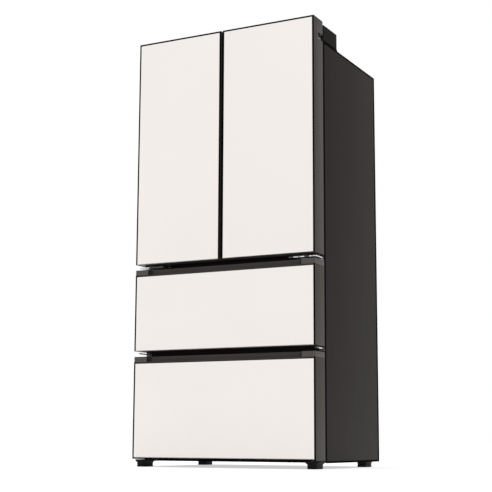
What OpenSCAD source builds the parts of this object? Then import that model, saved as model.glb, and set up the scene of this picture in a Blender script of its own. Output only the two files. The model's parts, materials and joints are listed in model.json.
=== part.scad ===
// French door refrigerator: two upper doors over two full-width drawers.
// Millimetres. The origin is on the floor under the middle of the appliance,
// +X points to the right of someone facing the doors, +Y points to the back, +Z up.

/* [Overall size] */
// Width across the cabinet
cabinet_w = 833; // [690:1:1000]
// Depth of the cabinet behind the doors and their seals
cabinet_d = 567.5; // [545:0.5:700]
// Height from the floor to the top of the upper doors
overall_h = 1818; // [1760:1:2200]

/* [Cabinet] */
// Height of the door tops above the cabinet roof
door_rise = 83; // [75:1:100]
// Gap between the floor and the side panels
side_floor_gap = 22; // [20:1:26]
// Height of the underside of the base pan
base_pan_z = 30; // [30:1:36]
// Thickness of the painted steel sheet
sheet_t = 1.5; // [1:0.1:2]
// Thickness of the compartment liners
liner_t = 2; // [1.5:0.1:3]
// Thickness of the insulated side walls
side_wall = 45; // [42:1:55]
// Thickness of the insulated roof
roof_wall = 40; // [38:1:60]
// Thickness of the insulated back wall
back_wall = 60; // [45:1:75]
// Thickness of the insulated floor and of the walls round the machine space
floor_wall = 45; // [30:1:55]
// Height of the insulated beams between compartments
beam_h = 62; // [62:1:70]
// Distance of the back panel in front of the rear edge of the sides
back_inset = 3; // [1:0.5:6]
// Depth of the machine space at the bottom rear
machine_d = 190; // [180:1:220]
// Height of the roof of the machine space
machine_h = 255; // [250:1:270]

/* [Doors and drawer fronts] */
// Thickness of the doors and drawer fronts
door_t = 90; // [80:1:110]
// Gap between the doors and the cabinet, filled by the gaskets
seal_gap = 7.5; // [7.5:0.5:12]
// Thickness of the face panels
panel_t = 4; // [3:0.5:6]
// Thickness of the frame round each front
frame_t = 6; // [5.8:0.1:8]
// Height of the face panels in front of their frames
face_step = 0.5; // [0.2:0.1:1]
// Width of frame left showing round each face panel
rim = 5.5; // [1:0.1:5.7]
// Offset of the gap between the upper doors from the middle
split_x = -8; // [-20:1:20]
// Width of the gap between the upper doors
split_gap = 8; // [7:1:20]
// Height of the gap between one front and the next
front_gap = 23; // [22:1:30]
// Gap between the floor and the lowest front
base_clear = 32; // [31:1:40]
// Height of the face panel of the bottom drawer
bottom_panel_h = 399; // [380:1:460]
// Height of the face panel of the middle drawer
middle_panel_h = 321; // [280:1:380]

/* [Finger grips] */
// Height of the grip strip over each drawer panel
grip_h = 22; // [18:1:30]
// Distance of the grip strip behind the face panel
grip_setback = 2.5; // [1:0.5:4]
// Length of the solid block at each end of a grip
end_block_w = 60; // [40:1:90]
// Depth of the grip, and radius of its rounded ends
grip_depth = 20; // [14:1:30]
// Depth of the groove behind the face panel
groove_h = 12; // [6:1:14]
// Depth of the grip moulding below the top of the panel
grip_root = 18; // [16:1:24]

/* [Hinges] */
// Distance of the door pins from the outer side
pin_inset = 18; // [14:1:19]
// Distance of the door pins in front of the back of the door
pin_lead = 26; // [24:1:34]
// Radius of the door pins
pin_r = 5; // [3:0.5:6]
// Radial clearance round a pin
pin_clear = 0.1; // [0.02:0.01:0.1]
// Half width of the upper hinge arm
arm_half = 10; // [8:0.5:11]
// Thickness of the upper hinge arm
arm_t = 12; // [8:1:14]
// Height of the notch in the door for the upper hinge
notch_h = 28; // [24:1:34]
// Reach of the notch in front of the pin
notch_lead = 19; // [17:1:24]
// Width of the middle hinge plates
plate_w = 110; // [80:1:140]
// Thickness of the middle hinge plates
plate_t = 5; // [3:0.5:6]
// Gap between the upper doors and the middle hinge plates
plate_drop = 9; // [6:0.5:10]
// Distance of the hinge plates behind the face panels
plate_setback = 22; // [10:1:40]
// Width of the brackets between the drawer fronts
bracket_w = 8; // [6:1:20]
// Width of each hinge cover
cover_w = 170; // [140:1:220]
// Depth of each hinge cover
cover_d = 143; // [120:1:200]
// Height of each hinge cover
cover_h = 71; // [50:1:73]
// Wall of the hinge covers
cover_t = 2.5; // [2:0.5:4]

/* [Feet] */
// Distance of the feet centres from the side
foot_inset = 28.5; // [28:0.5:60]
// Distance of the front feet behind the face panels
front_foot_y = 56; // [50:1:120]
// Distance of the rear feet in front of the back
rear_foot_y = 100; // [90:1:150]
// Width of a foot pad
foot_w = 42; // [30:1:50]
// Depth of a foot pad
foot_d = 63; // [40:1:70]
// Height of a foot pad
foot_h = 17; // [10:1:18]
// Margin of the foot bracket round its pad
foot_margin = 5; // [3:1:6]

/* [Seals and slides] */
// Width of the gaskets
gasket_w = 12; // [8:1:12]
// Distance of the gaskets from the hinge side of a front
gasket_side = 18; // [18:1:20]
// Distance of the gaskets from the ends of a front
gasket_end = 6; // [4:1:6]
// Distance of the gaskets from the gap between the doors
gasket_free = 10; // [8:1:12]
// Gap left in front of the cabinet face
gasket_slack = 0.3; // [0.2:0.1:0.5]
// Thickness of each slide member
rail_t = 4; // [3:0.5:5]
// Gap between slide members
rail_gap = 0.4; // [0.3:0.1:0.6]
// Height of the slide members
rail_h = 40; // [30:1:44]
// Length of the slide members
rail_l = 424; // [300:1:440]

/* [Inside] */
// Depth of the raised inner panel of the drawer fronts
plateau_d = 22; // [15:1:30]
// Clearance round what enters a compartment
entry_clear = 8; // [5:1:12]
// Height of the raised rim on the door liners
dyke_d = 45; // [30:1:50]
// Width of the raised rim on the door liners
dyke_w = 20; // [14:1:30]
// Depth of the door bins
bin_d = 98; // [80:1:100]
// Height of the door bins
bin_h = 92; // [70:1:110]
// Wall of bins and drawers
bin_t = 2.5; // [2:0.5:4]
// Distance of the shelves behind the cabinet face
shelf_setback = 107; // [104:1:130]
// Depth of the shelves
shelf_d = 370; // [280:1:372]
// Thickness of the shelf glass
glass_t = 4; // [3:0.5:6]
// Height of the crisper drawers
crisper_h = 150; // [110:1:180]
// Depth of the crisper drawers
crisper_d = 330; // [250:1:335]
// Distance of the crisper drawers behind the cabinet face
crisper_setback = 138; // [136:1:150]
// Depth of the middle drawer box
middle_box_d = 440; // [300:1:460]
// Height of the middle drawer box
middle_box_h = 230; // [150:1:250]
// Depth of the freezer basket
basket_d = 300; // [220:1:305]
// Height of the freezer basket
basket_h = 258; // [256:1:270]
// Depth of the freezer tray
tray_d = 220; // [180:1:220]
// Height of the freezer tray
tray_h = 68; // [50:1:70]
// Width of the flip mullion behind its own door
mullion_lap = 44; // [36:1:48]
// Gap between the flip mullion and the edge of the other door
mullion_clear = 2; // [2:0.5:4]
// Thickness of the flip mullion
mullion_t = 14.5; // [10:0.5:16]

/* [Hidden] */
$fn = 48;

// Colours
PANEL_WHITE = [0.94, 0.92, 0.90];
FRAME_GREY = [0.31, 0.30, 0.28];
CABINET_GREY = [0.22, 0.21, 0.20];
GRIP_GREY = [0.25, 0.23, 0.22];
LINER_WHITE = [0.93, 0.94, 0.95];
ZINC = [0.80, 0.81, 0.82];

// Planes across the depth
overall_d = door_t + seal_gap + cabinet_d;
half_w = cabinet_w / 2;
face_y = -overall_d / 2;
back_y = overall_d / 2;
door_back = face_y + door_t;
cab_y = door_back + seal_gap;
wall_y = cab_y + sheet_t;
back_sheet = back_y - back_inset;
foam_back = back_sheet - sheet_t;
cavity_back = back_y - back_wall;
machine_y = back_y - machine_d;
low_back = machine_y - floor_wall;

// Heights of the fronts
bottom_lo = base_clear;
bottom_panel_hi = bottom_lo + bottom_panel_h;
bottom_hi = bottom_panel_hi + grip_h;
middle_lo = bottom_hi + front_gap;
middle_panel_hi = middle_lo + middle_panel_h;
middle_hi = middle_panel_hi + grip_h;
door_lo = middle_hi + front_gap;
door_hi = overall_h;
roof_z = overall_h - door_rise;

// Compartments, each as its lowest and highest point
upper_beam_z = (door_lo + middle_hi) / 2;
lower_beam_z = (middle_lo + bottom_hi) / 2;
fridge_z = [upper_beam_z + beam_h / 2, roof_z - roof_wall];
middle_z = [lower_beam_z + beam_h / 2, upper_beam_z - beam_h / 2];
freezer_z = [base_pan_z + floor_wall, lower_beam_z - beam_h / 2];
step_z = machine_h + floor_wall;
cavity_hw = half_w - side_wall;
cavity_x = [-cavity_hw, cavity_hw];
front_x = [-half_w, half_w];

// Hinge pins, given for the right side and mirrored for the left
pin_x = half_w - pin_inset;
pin_y = door_back - pin_lead;
plate_z = [door_lo - plate_drop - plate_t, door_lo - plate_drop];
notch_z = [roof_z - 4, roof_z - 4 + notch_h];

// Slides
runner_hw = cavity_hw - 2 * (rail_t + rail_gap);
box_hw = runner_hw - rail_t;
rail_y = [door_back + plateau_d + 4, door_back + plateau_d + 4 + rail_l];
middle_rail_z = middle_z[0] + 150;
bottom_rail_z = step_z + 12;

// Drawer boxes, each as its lowest and highest point
box_clear = 12;
middle_box_z = [middle_z[0] + box_clear, middle_z[0] + box_clear + middle_box_h];
basket_z = [freezer_z[0] + box_clear, freezer_z[0] + box_clear + basket_h];
tray_z = [basket_z[1] + rail_gap, basket_z[1] + rail_gap + tray_h];

// Inside the fridge compartment
dyke_z = [fridge_z[0] + entry_clear, fridge_z[1] - entry_clear];
dyke_back = door_back + dyke_d;
shelf_y = [cab_y + shelf_setback, cab_y + shelf_setback + shelf_d];
crisper_y = [cab_y + crisper_setback, cab_y + crisper_setback + crisper_d];
crisper_z = [fridge_z[0] + 6, fridge_z[0] + 6 + crisper_h];
first_shelf_z = crisper_z[1] + 14;
shelf_step = (fridge_z[1] - first_shelf_z) / 4;
shelf_zs = [for (i = [0:3]) first_shelf_z + i * shelf_step];
duct_y = cavity_back - 22;
bin_zs = [first_shelf_z + 12, first_shelf_z + 12 + (bin_h + 76)];
dairy_z = bin_zs[1] + bin_h + 92;
dairy_h = 74;
dairy_d = bin_d - 16;
lid_axis = [door_back + 8, dairy_z + dairy_h + 6];
left_free_x = split_x - split_gap / 2;
right_free_x = split_x + split_gap / 2;
mullion_x = [left_free_x - mullion_lap, right_free_x - mullion_clear];
mullion_z = [dyke_z[0] + 8, dyke_z[1] - 8];
mullion_axis = [mullion_x[0] + 4, cab_y + mullion_t - 4];
mullion_pin_r = 2;

// A box from the two ends of its run along each axis
module block(x, y, z) {
    translate([x[0], y[0], z[0]])
        cube([x[1] - x[0], y[1] - y[0], z[1] - z[0]]);
}

// A box with rounded upright corners
module rounded_block(x, y, z, r) {
    translate([0, 0, z[0]]) linear_extrude(height = z[1] - z[0]) {
        translate([x[0] + r, y[0]]) square([x[1] - x[0] - 2 * r, y[1] - y[0]]);
        translate([x[0], y[0] + r]) square([x[1] - x[0], y[1] - y[0] - 2 * r]);
        for (cx = [x[0] + r, x[1] - r]) for (cy = [y[0] + r, y[1] - r])
            translate([cx, cy]) circle(r);
    }
}

// An upright round bar
module bar(x, y, z, r) {
    translate([x, y, z[0]]) cylinder(r = r, h = z[1] - z[0]);
}

// A flat ring in the plane of the doors
module ring(x, y, z, w) {
    difference() {
        block(x, y, z);
        block([x[0] + w, x[1] - w], [y[0] - 1, y[1] + 1], [z[0] + w, z[1] - w]);
    }
}

// A tub open at the top
module tub(x, y, z, t) {
    difference() {
        block(x, y, z);
        block([x[0] + t, x[1] - t], [y[0] + t, y[1] - t], [z[0] + t, z[1] + 1]);
    }
}

// A right-hand shape and its mirror image on the left
module both_sides() {
    children();
    mirror([1, 0, 0]) children();
}

// Shrinks both ends of a run
function inset(run, by) = [run[0] + by, run[1] - by];
// The run across one upper door, side -1 on the left and 1 on the right
function door_x(side) = side < 0
    ? [-half_w, left_free_x]
    : [right_free_x, half_w];
// Two distances from the hinge side of a door, as a run along X
function from_side(side, near, far) = side < 0
    ? [-half_w + near, -half_w + far]
    : [half_w - far, half_w - near];
// The run across one door inside its raised rim
function dyke_x(side) = side < 0
    ? [-cavity_hw + entry_clear, left_free_x - 58]
    : [right_free_x + 58, cavity_hw - entry_clear];

// ---- Cabinet ----

module side_panel(side) {
    x = side < 0 ? [-half_w, -half_w + sheet_t] : [half_w - sheet_t, half_w];
    block(x, [cab_y, back_y], [side_floor_gap, roof_z]);
}

module side_panel_left() {
    color(CABINET_GREY) side_panel(-1);
}

module side_panel_right() {
    color(CABINET_GREY) side_panel(1);
}

module roof_panel() {
    color(CABINET_GREY)
        block(inset(front_x, sheet_t), [wall_y, back_y], [roof_z - sheet_t, roof_z]);
}

module back_panel() {
    color(CABINET_GREY)
        block(inset(front_x, sheet_t), [foam_back, back_sheet],
            [machine_h + sheet_t, roof_z - sheet_t]);
}

module base_pan() {
    color(CABINET_GREY)
        block(inset(front_x, sheet_t), [wall_y, foam_back], [base_pan_z, base_pan_z + sheet_t]);
}

module front_face() {
    color(CABINET_GREY) difference() {
        block(inset(front_x, sheet_t), [cab_y, wall_y], [base_pan_z, roof_z]);
        for (z = [fridge_z, middle_z, freezer_z])
            block(cavity_x, [cab_y - 1, wall_y + 1], z);
    }
}

// Rigid foam, as slabs that meet with a hairline gap
module cabinet_insulation() {
    hair = 0.4;
    wall_z = [base_pan_z + sheet_t, roof_z - sheet_t];
    slab_x = inset(cavity_x, hair - liner_t);
    slab_back = cavity_back + liner_t;
    color("khaki") {
        both_sides()
            block([cavity_hw + liner_t, half_w - sheet_t], [wall_y, foam_back], wall_z);
        block(slab_x, [wall_y, foam_back], [fridge_z[1] + liner_t, wall_z[1]]);
        block(slab_x, [slab_back, foam_back], [step_z, fridge_z[1] + liner_t - hair]);
        for (z = [[middle_z[1], fridge_z[0]], [freezer_z[1], middle_z[0]]])
            block(slab_x, [wall_y, slab_back - hair], inset(z, liner_t));
        block(slab_x, [wall_y, machine_y], [wall_z[0], freezer_z[0] - liner_t]);
        block(slab_x, [low_back + liner_t, machine_y],
            [freezer_z[0] - liner_t + hair, step_z - liner_t]);
        block(slab_x, [machine_y + hair, foam_back], [machine_h, step_z - liner_t]);
    }
}

// A liner open towards the doors, with its inner faces on the compartment
module liner(y_back, z) {
    difference() {
        block(inset(cavity_x, -liner_t), [wall_y, y_back + liner_t], inset(z, -liner_t));
        block(cavity_x, [wall_y - 1, y_back], z);
    }
}

module fridge_liner() {
    color(LINER_WHITE) liner(cavity_back, fridge_z);
}

module middle_liner() {
    color(LINER_WHITE) liner(cavity_back, middle_z);
}

module freezer_liner() {
    color(LINER_WHITE) difference() {
        union() {
            block(inset(cavity_x, -liner_t), [wall_y, cavity_back + liner_t],
                [step_z - liner_t, freezer_z[1] + liner_t]);
            block(inset(cavity_x, -liner_t), [wall_y, low_back + liner_t],
                [freezer_z[0] - liner_t, step_z]);
        }
        block(cavity_x, [wall_y - 1, cavity_back], [step_z, freezer_z[1]]);
        block(cavity_x, [wall_y - 1, low_back], [freezer_z[0], step_z + 1]);
    }
}

// ---- Hinges, brackets and feet ----

module hinge_covers() {
    x = [half_w - cover_w, half_w];
    y = [cab_y, cab_y + cover_d];
    color(CABINET_GREY) both_sides() difference() {
        rounded_block(x, y, [roof_z, roof_z + cover_h], 6);
        rounded_block(inset(x, cover_t), inset(y, cover_t),
            [roof_z - 1, roof_z + cover_h - cover_t], 4);
        block([pin_x - arm_half - 2, pin_x + arm_half + 2], [cab_y - 1, cab_y + cover_t + 1],
            [roof_z - 1, roof_z + arm_t + 3]);
    }
}

module top_hinges() {
    plate_x = [half_w - cover_w + 30, pin_x + arm_half];
    plate_y = [cab_y + 12, cab_y + cover_d - 20];
    color(ZINC) both_sides() {
        block(plate_x, plate_y, [roof_z, roof_z + arm_t]);
        block([pin_x - arm_half, pin_x + arm_half], [pin_y, plate_y[0] + 1],
            [roof_z, roof_z + arm_t]);
        bar(pin_x, pin_y, [roof_z, roof_z + arm_t], arm_half);
        bar(pin_x, pin_y, [roof_z, roof_z + 50], pin_r);
        for (x = [plate_x[0] + 20, plate_x[1] - 20]) for (y = inset(plate_y, 20))
            bar(x, y, [roof_z, roof_z + arm_t + 5], 7);
    }
}

module middle_hinges() {
    x = [half_w - 6 - plate_w, half_w - 6];
    color(ZINC) both_sides() {
        block(x, [face_y + plate_setback, cab_y], plate_z);
        block(x, [cab_y - 3, cab_y], [middle_hi + 2, door_lo - 2]);
        bar(pin_x, pin_y, [plate_z[0], door_lo + 22], pin_r);
        bar(pin_x, pin_y, [plate_z[1], door_lo - 1], pin_r + 5);
    }
}

// Plates that stand out of the lower beam between the two drawer fronts
module beam_brackets() {
    x = [half_w - 4 - bracket_w, half_w - 4];
    z = lower_beam_z;
    color(ZINC) both_sides() {
        block(x, [face_y + 24, cab_y], [z + 1, z + 1 + plate_t]);
        block([x[0] - 14, x[1]], [cab_y - 3, cab_y], [z - 8, z + 9]);
    }
}

// A foot pad under a bracket that widens to the frame
module foot(x, y) {
    w = foot_w / 2;
    d = foot_d / 2;
    m = foot_margin;
    block([x - w, x + w], [y - d, y + d], [0, foot_h]);
    block([x - w - m, x + w + m], [y - d - 3 * m, y + d + 3 * m], [foot_h, foot_h + 5]);
    block([x - w, x + w], [y - d, y + d], [foot_h, base_pan_z]);
}

module levelling_feet() {
    color(GRIP_GREY) both_sides() {
        foot(half_w - foot_inset, face_y + front_foot_y);
        block([half_w - foot_inset - foot_w / 2, half_w - foot_inset + foot_w / 2],
            [face_y + front_foot_y, cab_y + 90], [foot_h + 5, base_pan_z]);
        foot(half_w - foot_inset, back_y - rear_foot_y);
    }
}

// ---- Machine space ----

module machine_cover() {
    x = inset(front_x, sheet_t + 1);
    z = [base_pan_z + sheet_t, machine_h + sheet_t - 0.5];
    color([0.16, 0.16, 0.16]) {
        difference() {
            block(x, [foam_back, back_sheet], z);
            for (side = [-1, 1]) for (i = [0:9])
                block([side * 190 - 110, side * 190 + 110], [foam_back - 1, back_sheet + 1],
                    [z[0] + 40 + i * 15, z[0] + 46 + i * 15]);
        }
        // Gland that the supply cord would leave by
        translate([-half_w + 50, back_sheet + back_inset, z[0] + 18]) rotate([90, 0, 0])
            difference() {
                cylinder(r = 9, h = back_inset + sheet_t);
                translate([0, 0, -1]) cylinder(r = 4, h = 3);
            }
    }
}

module compressor() {
    x = -cavity_hw + 120;
    y = machine_y + 90;
    r = 74;
    top = machine_h - 40;
    color([0.1, 0.1, 0.1]) {
        bar(x, y, [base_pan_z + 40, top - 40], r);
        translate([x, y, top - 40]) rotate_extrude() intersection() {
            union() {
                square([r - 40, 40]);
                translate([r - 40, 0]) circle(40);
            }
            square([r, 40]);
        }
        for (a = [45:90:315]) translate([x, y, 0]) rotate(a)
            bar(r + 4, 0, [base_pan_z + sheet_t, base_pan_z + 40 + 6], 11);
        rounded_block([x - r - 14, x + r + 14], [y - r, y + r],
            [base_pan_z + 40, base_pan_z + 44], 12);
    }
}

// A tube that runs back and forth along X and climbs or steps with each pass
module serpentine(length, rows, pitch, r) {
    for (i = [0:rows - 1]) {
        translate([0, 0, i * pitch]) rotate([0, 90, 0]) cylinder(r = r, h = length);
        if (i < rows - 1) {
            end = i % 2 == 0 ? length : 0;
            turn = i % 2 == 0 ? 90 : -90;
            translate([end, 0, i * pitch + pitch / 2]) rotate([90, turn, 0])
                rotate_extrude(angle = 180) translate([pitch / 2, 0]) circle(r);
        }
    }
}

module condenser_coil() {
    color([0.12, 0.12, 0.12])
        for (i = [0:3])
            translate([60, machine_y + 40 + i * 30, base_pan_z + 30]) serpentine(230, 6, 24, 3);
}

module drain_pan() {
    color([0.2, 0.2, 0.2])
        tub([40, 320], [machine_y + 20, machine_y + 150], [machine_h - 50, machine_h - 20], 2);
}

// An axial fan about Z, with its hub on the origin
module fan(r, depth, blades) {
    cylinder(r = r * 0.28, h = depth, center = true);
    for (i = [0:blades - 1]) rotate(i * 360 / blades) translate([r * 0.6, 0, 0])
        rotate([35, 0, 0]) cube([r * 0.78, r * 0.5, 1.6], center = true);
}

module condenser_fan() {
    color([0.15, 0.15, 0.15])
        translate([-30, machine_y + 90, base_pan_z + 110]) rotate([0, 90, 0]) fan(70, 30, 5);
}

// ---- Fridge and freezer fittings ----

module fridge_duct() {
    color(LINER_WHITE) difference() {
        block(inset(cavity_x, 4), [duct_y, cavity_back], [first_shelf_z + 6, fridge_z[1] - 4]);
        for (z = shelf_zs) for (x = [-120, 120])
            block([x - 40, x + 40], [duct_y - 1, duct_y + 6],
                [z + shelf_step * 0.72, z + shelf_step * 0.72 + 12]);
    }
}

module freezer_duct() {
    color(LINER_WHITE)
        block(inset(cavity_x, 1), [cavity_back - 48, cavity_back - 44], inset([step_z, freezer_z[1]], 1));
}

module evaporator_coil() {
    ends = [-300, 120];
    y = [cavity_back - 38, cavity_back - 4];
    color("silver") {
        for (tube_y = [y[0] + 9, y[1] - 9]) for (i = [0:3])
            translate([ends[0], tube_y, step_z + 22 + i * 26]) rotate([0, 90, 0])
                cylinder(r = 4, h = ends[1] - ends[0]);
        for (i = [0:12])
            block([ends[0] + 8 + i * 33, ends[0] + 9 + i * 33], y, [step_z + 10, step_z + 112]);
    }
}

module evaporator_fan() {
    color("white")
        translate([250, cavity_back - 22, step_z + 62]) rotate([90, 0, 0]) fan(48, 22, 5);
}

module ceiling_light() {
    color("white")
        rounded_block([-170, 170], [cab_y + 150, cab_y + 190], [fridge_z[1] - 5, fridge_z[1]], 8);
}

// Runs across the two halves of each shelf
SHELF_HALVES = [[-cavity_hw + 6, -5], [5, cavity_hw - 6]];

module shelf_glass() {
    color([0.75, 0.88, 0.86, 0.5])
        for (z = shelf_zs) for (x = SHELF_HALVES)
            block(x, [shelf_y[0] + 16, shelf_y[1] - 12], [z, z + glass_t]);
}

module shelf_trim() {
    color([0.85, 0.86, 0.88])
        for (z = shelf_zs) for (x = SHELF_HALVES) {
            block(x, [shelf_y[0], shelf_y[0] + 16], [z - 6, z + glass_t + 4]);
            block(x, [shelf_y[1] - 12, shelf_y[1]], [z - 6, z + glass_t + 12]);
            for (side_x = [[x[0], x[0] + 10], [x[1] - 10, x[1]]])
                block(side_x, [shelf_y[0] + 8, shelf_y[1] - 6], [z - 6, z]);
        }
}

module shelf_tracks() {
    color(ZINC)
        for (x = [-cavity_hw + 16, -16, 16, cavity_hw - 16]) difference() {
            block([x - 7, x + 7], [shelf_y[1], duct_y], [first_shelf_z + 30, fridge_z[1] - 30]);
            for (i = [0:13])
                block([x - 2, x + 2], [shelf_y[1] - 1, duct_y - 1],
                    [first_shelf_z + 40 + i * 40, first_shelf_z + 56 + i * 40]);
        }
}

// A clear drawer with a pull along the top of its front
module crisper(x) {
    color([0.85, 0.92, 0.95, 0.7]) {
        tub(x, crisper_y, crisper_z, bin_t);
        block(inset(x, 30), [crisper_y[0] - 12, crisper_y[0] + 1], [crisper_z[1] - 22, crisper_z[1] - 4]);
    }
}

module crisper_left() {
    crisper([-cavity_hw + 6, -6]);
}

module crisper_right() {
    crisper([6, cavity_hw - 6]);
}

// ---- Slides ----

// One slide member, given as its distance inside the compartment wall
module slide_member(out, z) {
    both_sides()
        block([cavity_hw - out - rail_t, cavity_hw - out], rail_y, [z, z + rail_h]);
}

module slide_rails() {
    color(ZINC) {
        slide_member(0, middle_rail_z);
        slide_member(0, bottom_rail_z);
    }
}

module middle_slides() {
    color(ZINC) slide_member(rail_t + rail_gap, middle_rail_z);
}

module bottom_slides() {
    color(ZINC) slide_member(rail_t + rail_gap, bottom_rail_z);
}

// ---- Upper doors ----

// The notch that clears the upper hinge arm, open to the back and the side
module notch(side) {
    block(from_side(side, -1, 44), [pin_y - notch_lead, door_back + 1], notch_z);
}

// The solid corners that hold the two pins
module pin_boxes(side) {
    y = [pin_y - 32, door_back - liner_t];
    block(from_side(side, 1, 56), y, [door_lo + 1, door_lo + 34]);
    block(from_side(side, 1, 56), y, [notch_z[0] - 12, notch_z[1] + 34]);
}

module pin_holes(side) {
    bar(side * pin_x, pin_y, [door_lo - 1, door_lo + 24], pin_r + pin_clear);
    bar(side * pin_x, pin_y, [notch_z[0], notch_z[1] + 28], pin_r + pin_clear);
}

module door_panel(side) {
    color(PANEL_WHITE)
        block(inset(door_x(side), rim), [face_y, face_y + panel_t], inset([door_lo, door_hi], rim));
}

module door_frame(side) {
    closer_x = side * (pin_x - 42);
    color(FRAME_GREY) {
        difference() {
            union() {
                ring(door_x(side), [face_y + face_step, door_back], [door_lo, door_hi], frame_t);
                pin_boxes(side);
            }
            block(inset(door_x(side), rim), [face_y - 1, face_y + panel_t],
                inset([door_lo, door_hi], rim));
            notch(side);
            pin_holes(side);
        }
        // Closing cam under the door
        block([closer_x - 9, closer_x + 9], [pin_y - 26, pin_y - 4],
            [plate_z[1] + 0.5, door_lo]);
    }
}

module door_insulation(side) {
    color("khaki") difference() {
        block(inset(door_x(side), frame_t), [face_y + panel_t, door_back - liner_t],
            inset([door_lo, door_hi], frame_t));
        pin_boxes(side);
    }
}

module door_liner(side) {
    color(LINER_WHITE) {
        difference() {
            block(inset(door_x(side), frame_t), [door_back - liner_t, door_back],
                inset([door_lo, door_hi], frame_t));
            notch(side);
        }
        ring(dyke_x(side), [door_back, dyke_back], dyke_z, dyke_w);
    }
}

module door_gasket(side) {
    x = side < 0
        ? [-half_w + gasket_side, left_free_x - gasket_free]
        : [right_free_x + gasket_free, half_w - gasket_side];
    color([0.6, 0.6, 0.6])
        ring(x, [door_back, cab_y - gasket_slack], [door_lo + gasket_end, roof_z - gasket_w],
            gasket_w);
}

// Two bins between the raised rims of a door
module bins(side, zs) {
    x = inset(dyke_x(side), dyke_w);
    for (z = zs) tub(x, [door_back, door_back + bin_d], [z, z + bin_h], bin_t);
}

module left_door_panel() {
    door_panel(-1);
}

module left_door_frame() {
    door_frame(-1);
}

module left_door_insulation() {
    door_insulation(-1);
}

// The left liner also carries the two ears and pins of the flip mullion
module left_door_liner() {
    ear_x = [dyke_x(-1)[1] - 1, mullion_axis[0] + 4];
    ear_y = [mullion_axis[1] - 4, mullion_axis[1] + 4];
    low = mullion_z[0];
    high = mullion_z[1];
    door_liner(-1);
    color(LINER_WHITE) {
        block(ear_x, ear_y, [low - 5, low - 0.5]);
        block(ear_x, ear_y, [high + 0.5, high + 5]);
        bar(mullion_axis[0], mullion_axis[1], [low - 5, low + 8], mullion_pin_r);
        bar(mullion_axis[0], mullion_axis[1], [high - 8, high + 5], mullion_pin_r);
    }
}

module left_door_gasket() {
    door_gasket(-1);
}

module left_door_bins() {
    color([0.85, 0.92, 0.95, 0.7]) bins(-1, concat(bin_zs, [dairy_z]));
}

// The bar that closes the gap behind the doors and folds back against its door
module flip_mullion() {
    color([0.75, 0.75, 0.74]) difference() {
        block(mullion_x, [cab_y, cab_y + mullion_t], mullion_z);
        for (z = [[mullion_z[0] - 1, mullion_z[0] + 9], [mullion_z[1] - 9, mullion_z[1] + 1]])
            bar(mullion_axis[0], mullion_axis[1], z, mullion_pin_r + pin_clear);
    }
}

module right_door_panel() {
    door_panel(1);
}

module right_door_frame() {
    door_frame(1);
}

module right_door_insulation() {
    door_insulation(1);
}

module right_door_liner() {
    door_liner(1);
}

// The right gasket also has a thin lip behind the gap between the doors
module right_door_gasket() {
    door_gasket(1);
    color([0.6, 0.6, 0.6])
        block([right_free_x - 1.5, right_free_x + gasket_free + 1], [door_back, door_back + 3],
            [door_lo + gasket_end, roof_z - gasket_w]);
}

// Two bins and a covered dairy compartment
module right_door_bins() {
    color([0.85, 0.92, 0.95, 0.7]) {
        bins(1, bin_zs);
        tub(inset(dyke_x(1), dyke_w), [door_back, door_back + dairy_d],
            [dairy_z, dairy_z + dairy_h - 14], bin_t);
    }
}

// A lid that turns up about its back edge, and comes down over the front of the tub
module dairy_lid() {
    x = inset(dyke_x(1), dyke_w + 1);
    y = lid_axis[0];
    z = lid_axis[1];
    color([0.85, 0.92, 0.95, 0.7]) {
        block(x, [y, door_back + dairy_d + 4], [z - 2, z]);
        block(x, [door_back + dairy_d + 1, door_back + dairy_d + 4], [z - 40, z - 1]);
        translate([x[0], y, z]) rotate([0, 90, 0]) cylinder(r = 3, h = x[1] - x[0]);
    }
}

// ---- Drawers ----

module drawer_panel(lo, panel_hi) {
    color(PANEL_WHITE)
        block(inset(front_x, rim), [face_y, face_y + panel_t], [lo + rim, panel_hi - rim]);
}

module drawer_frame(lo, panel_hi) {
    color(FRAME_GREY) difference() {
        block(front_x, [face_y + face_step, door_back], [lo, panel_hi]);
        block(inset(front_x, frame_t), [face_y - 1, door_back + 1], [lo + frame_t, panel_hi + 1]);
        block(inset(front_x, rim), [face_y - 1, face_y + panel_t], [lo + rim, panel_hi + 1]);
    }
}

// A full-width moulding with a hollow for the fingers and a groove to pull on
module drawer_grip(panel_hi) {
    y = face_y + grip_setback;
    reach = half_w - end_block_w - grip_depth;
    color(GRIP_GREY) difference() {
        union() {
            block(front_x, [y, door_back], [panel_hi, panel_hi + grip_h]);
            block(inset(front_x, frame_t), [face_y + panel_t, door_back],
                [panel_hi - grip_root, panel_hi + 1]);
        }
        translate([0, 0, panel_hi]) linear_extrude(height = grip_h + 1) {
            translate([-reach, y - 1]) square([2 * reach, grip_depth + 1]);
            for (x = [-reach, reach]) translate([x, y]) circle(grip_depth);
        }
        block([-reach, reach], [face_y + panel_t + 5, y + grip_depth],
            [panel_hi - groove_h, panel_hi + 1]);
    }
}

// The foam-filled inside of a drawer front, with a raised panel that enters the cabinet
module drawer_inner(lo, panel_hi, z) {
    color(LINER_WHITE) {
        block(inset(front_x, frame_t), [face_y + panel_t, door_back],
            [lo + frame_t, panel_hi - grip_root]);
        block(inset(cavity_x, entry_clear), [door_back, door_back + plateau_d],
            inset(z, entry_clear));
    }
}

module drawer_gasket(lo, hi) {
    color([0.6, 0.6, 0.6])
        ring(inset(front_x, gasket_side), [door_back, cab_y - gasket_slack],
            inset([lo, hi], gasket_end), gasket_w);
}

// A tub on the back of a drawer front, with a runner along each side
module drawer_box(depth, z, rail_z) {
    y = [door_back + plateau_d, door_back + plateau_d + depth];
    tub([-box_hw, box_hw], y, z, bin_t + 0.5);
    both_sides() block([box_hw - 1, runner_hw], [y[0], min(y[1], rail_y[1])],
        [rail_z + 4, min(rail_z + rail_h - 4, z[1])]);
}

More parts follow.
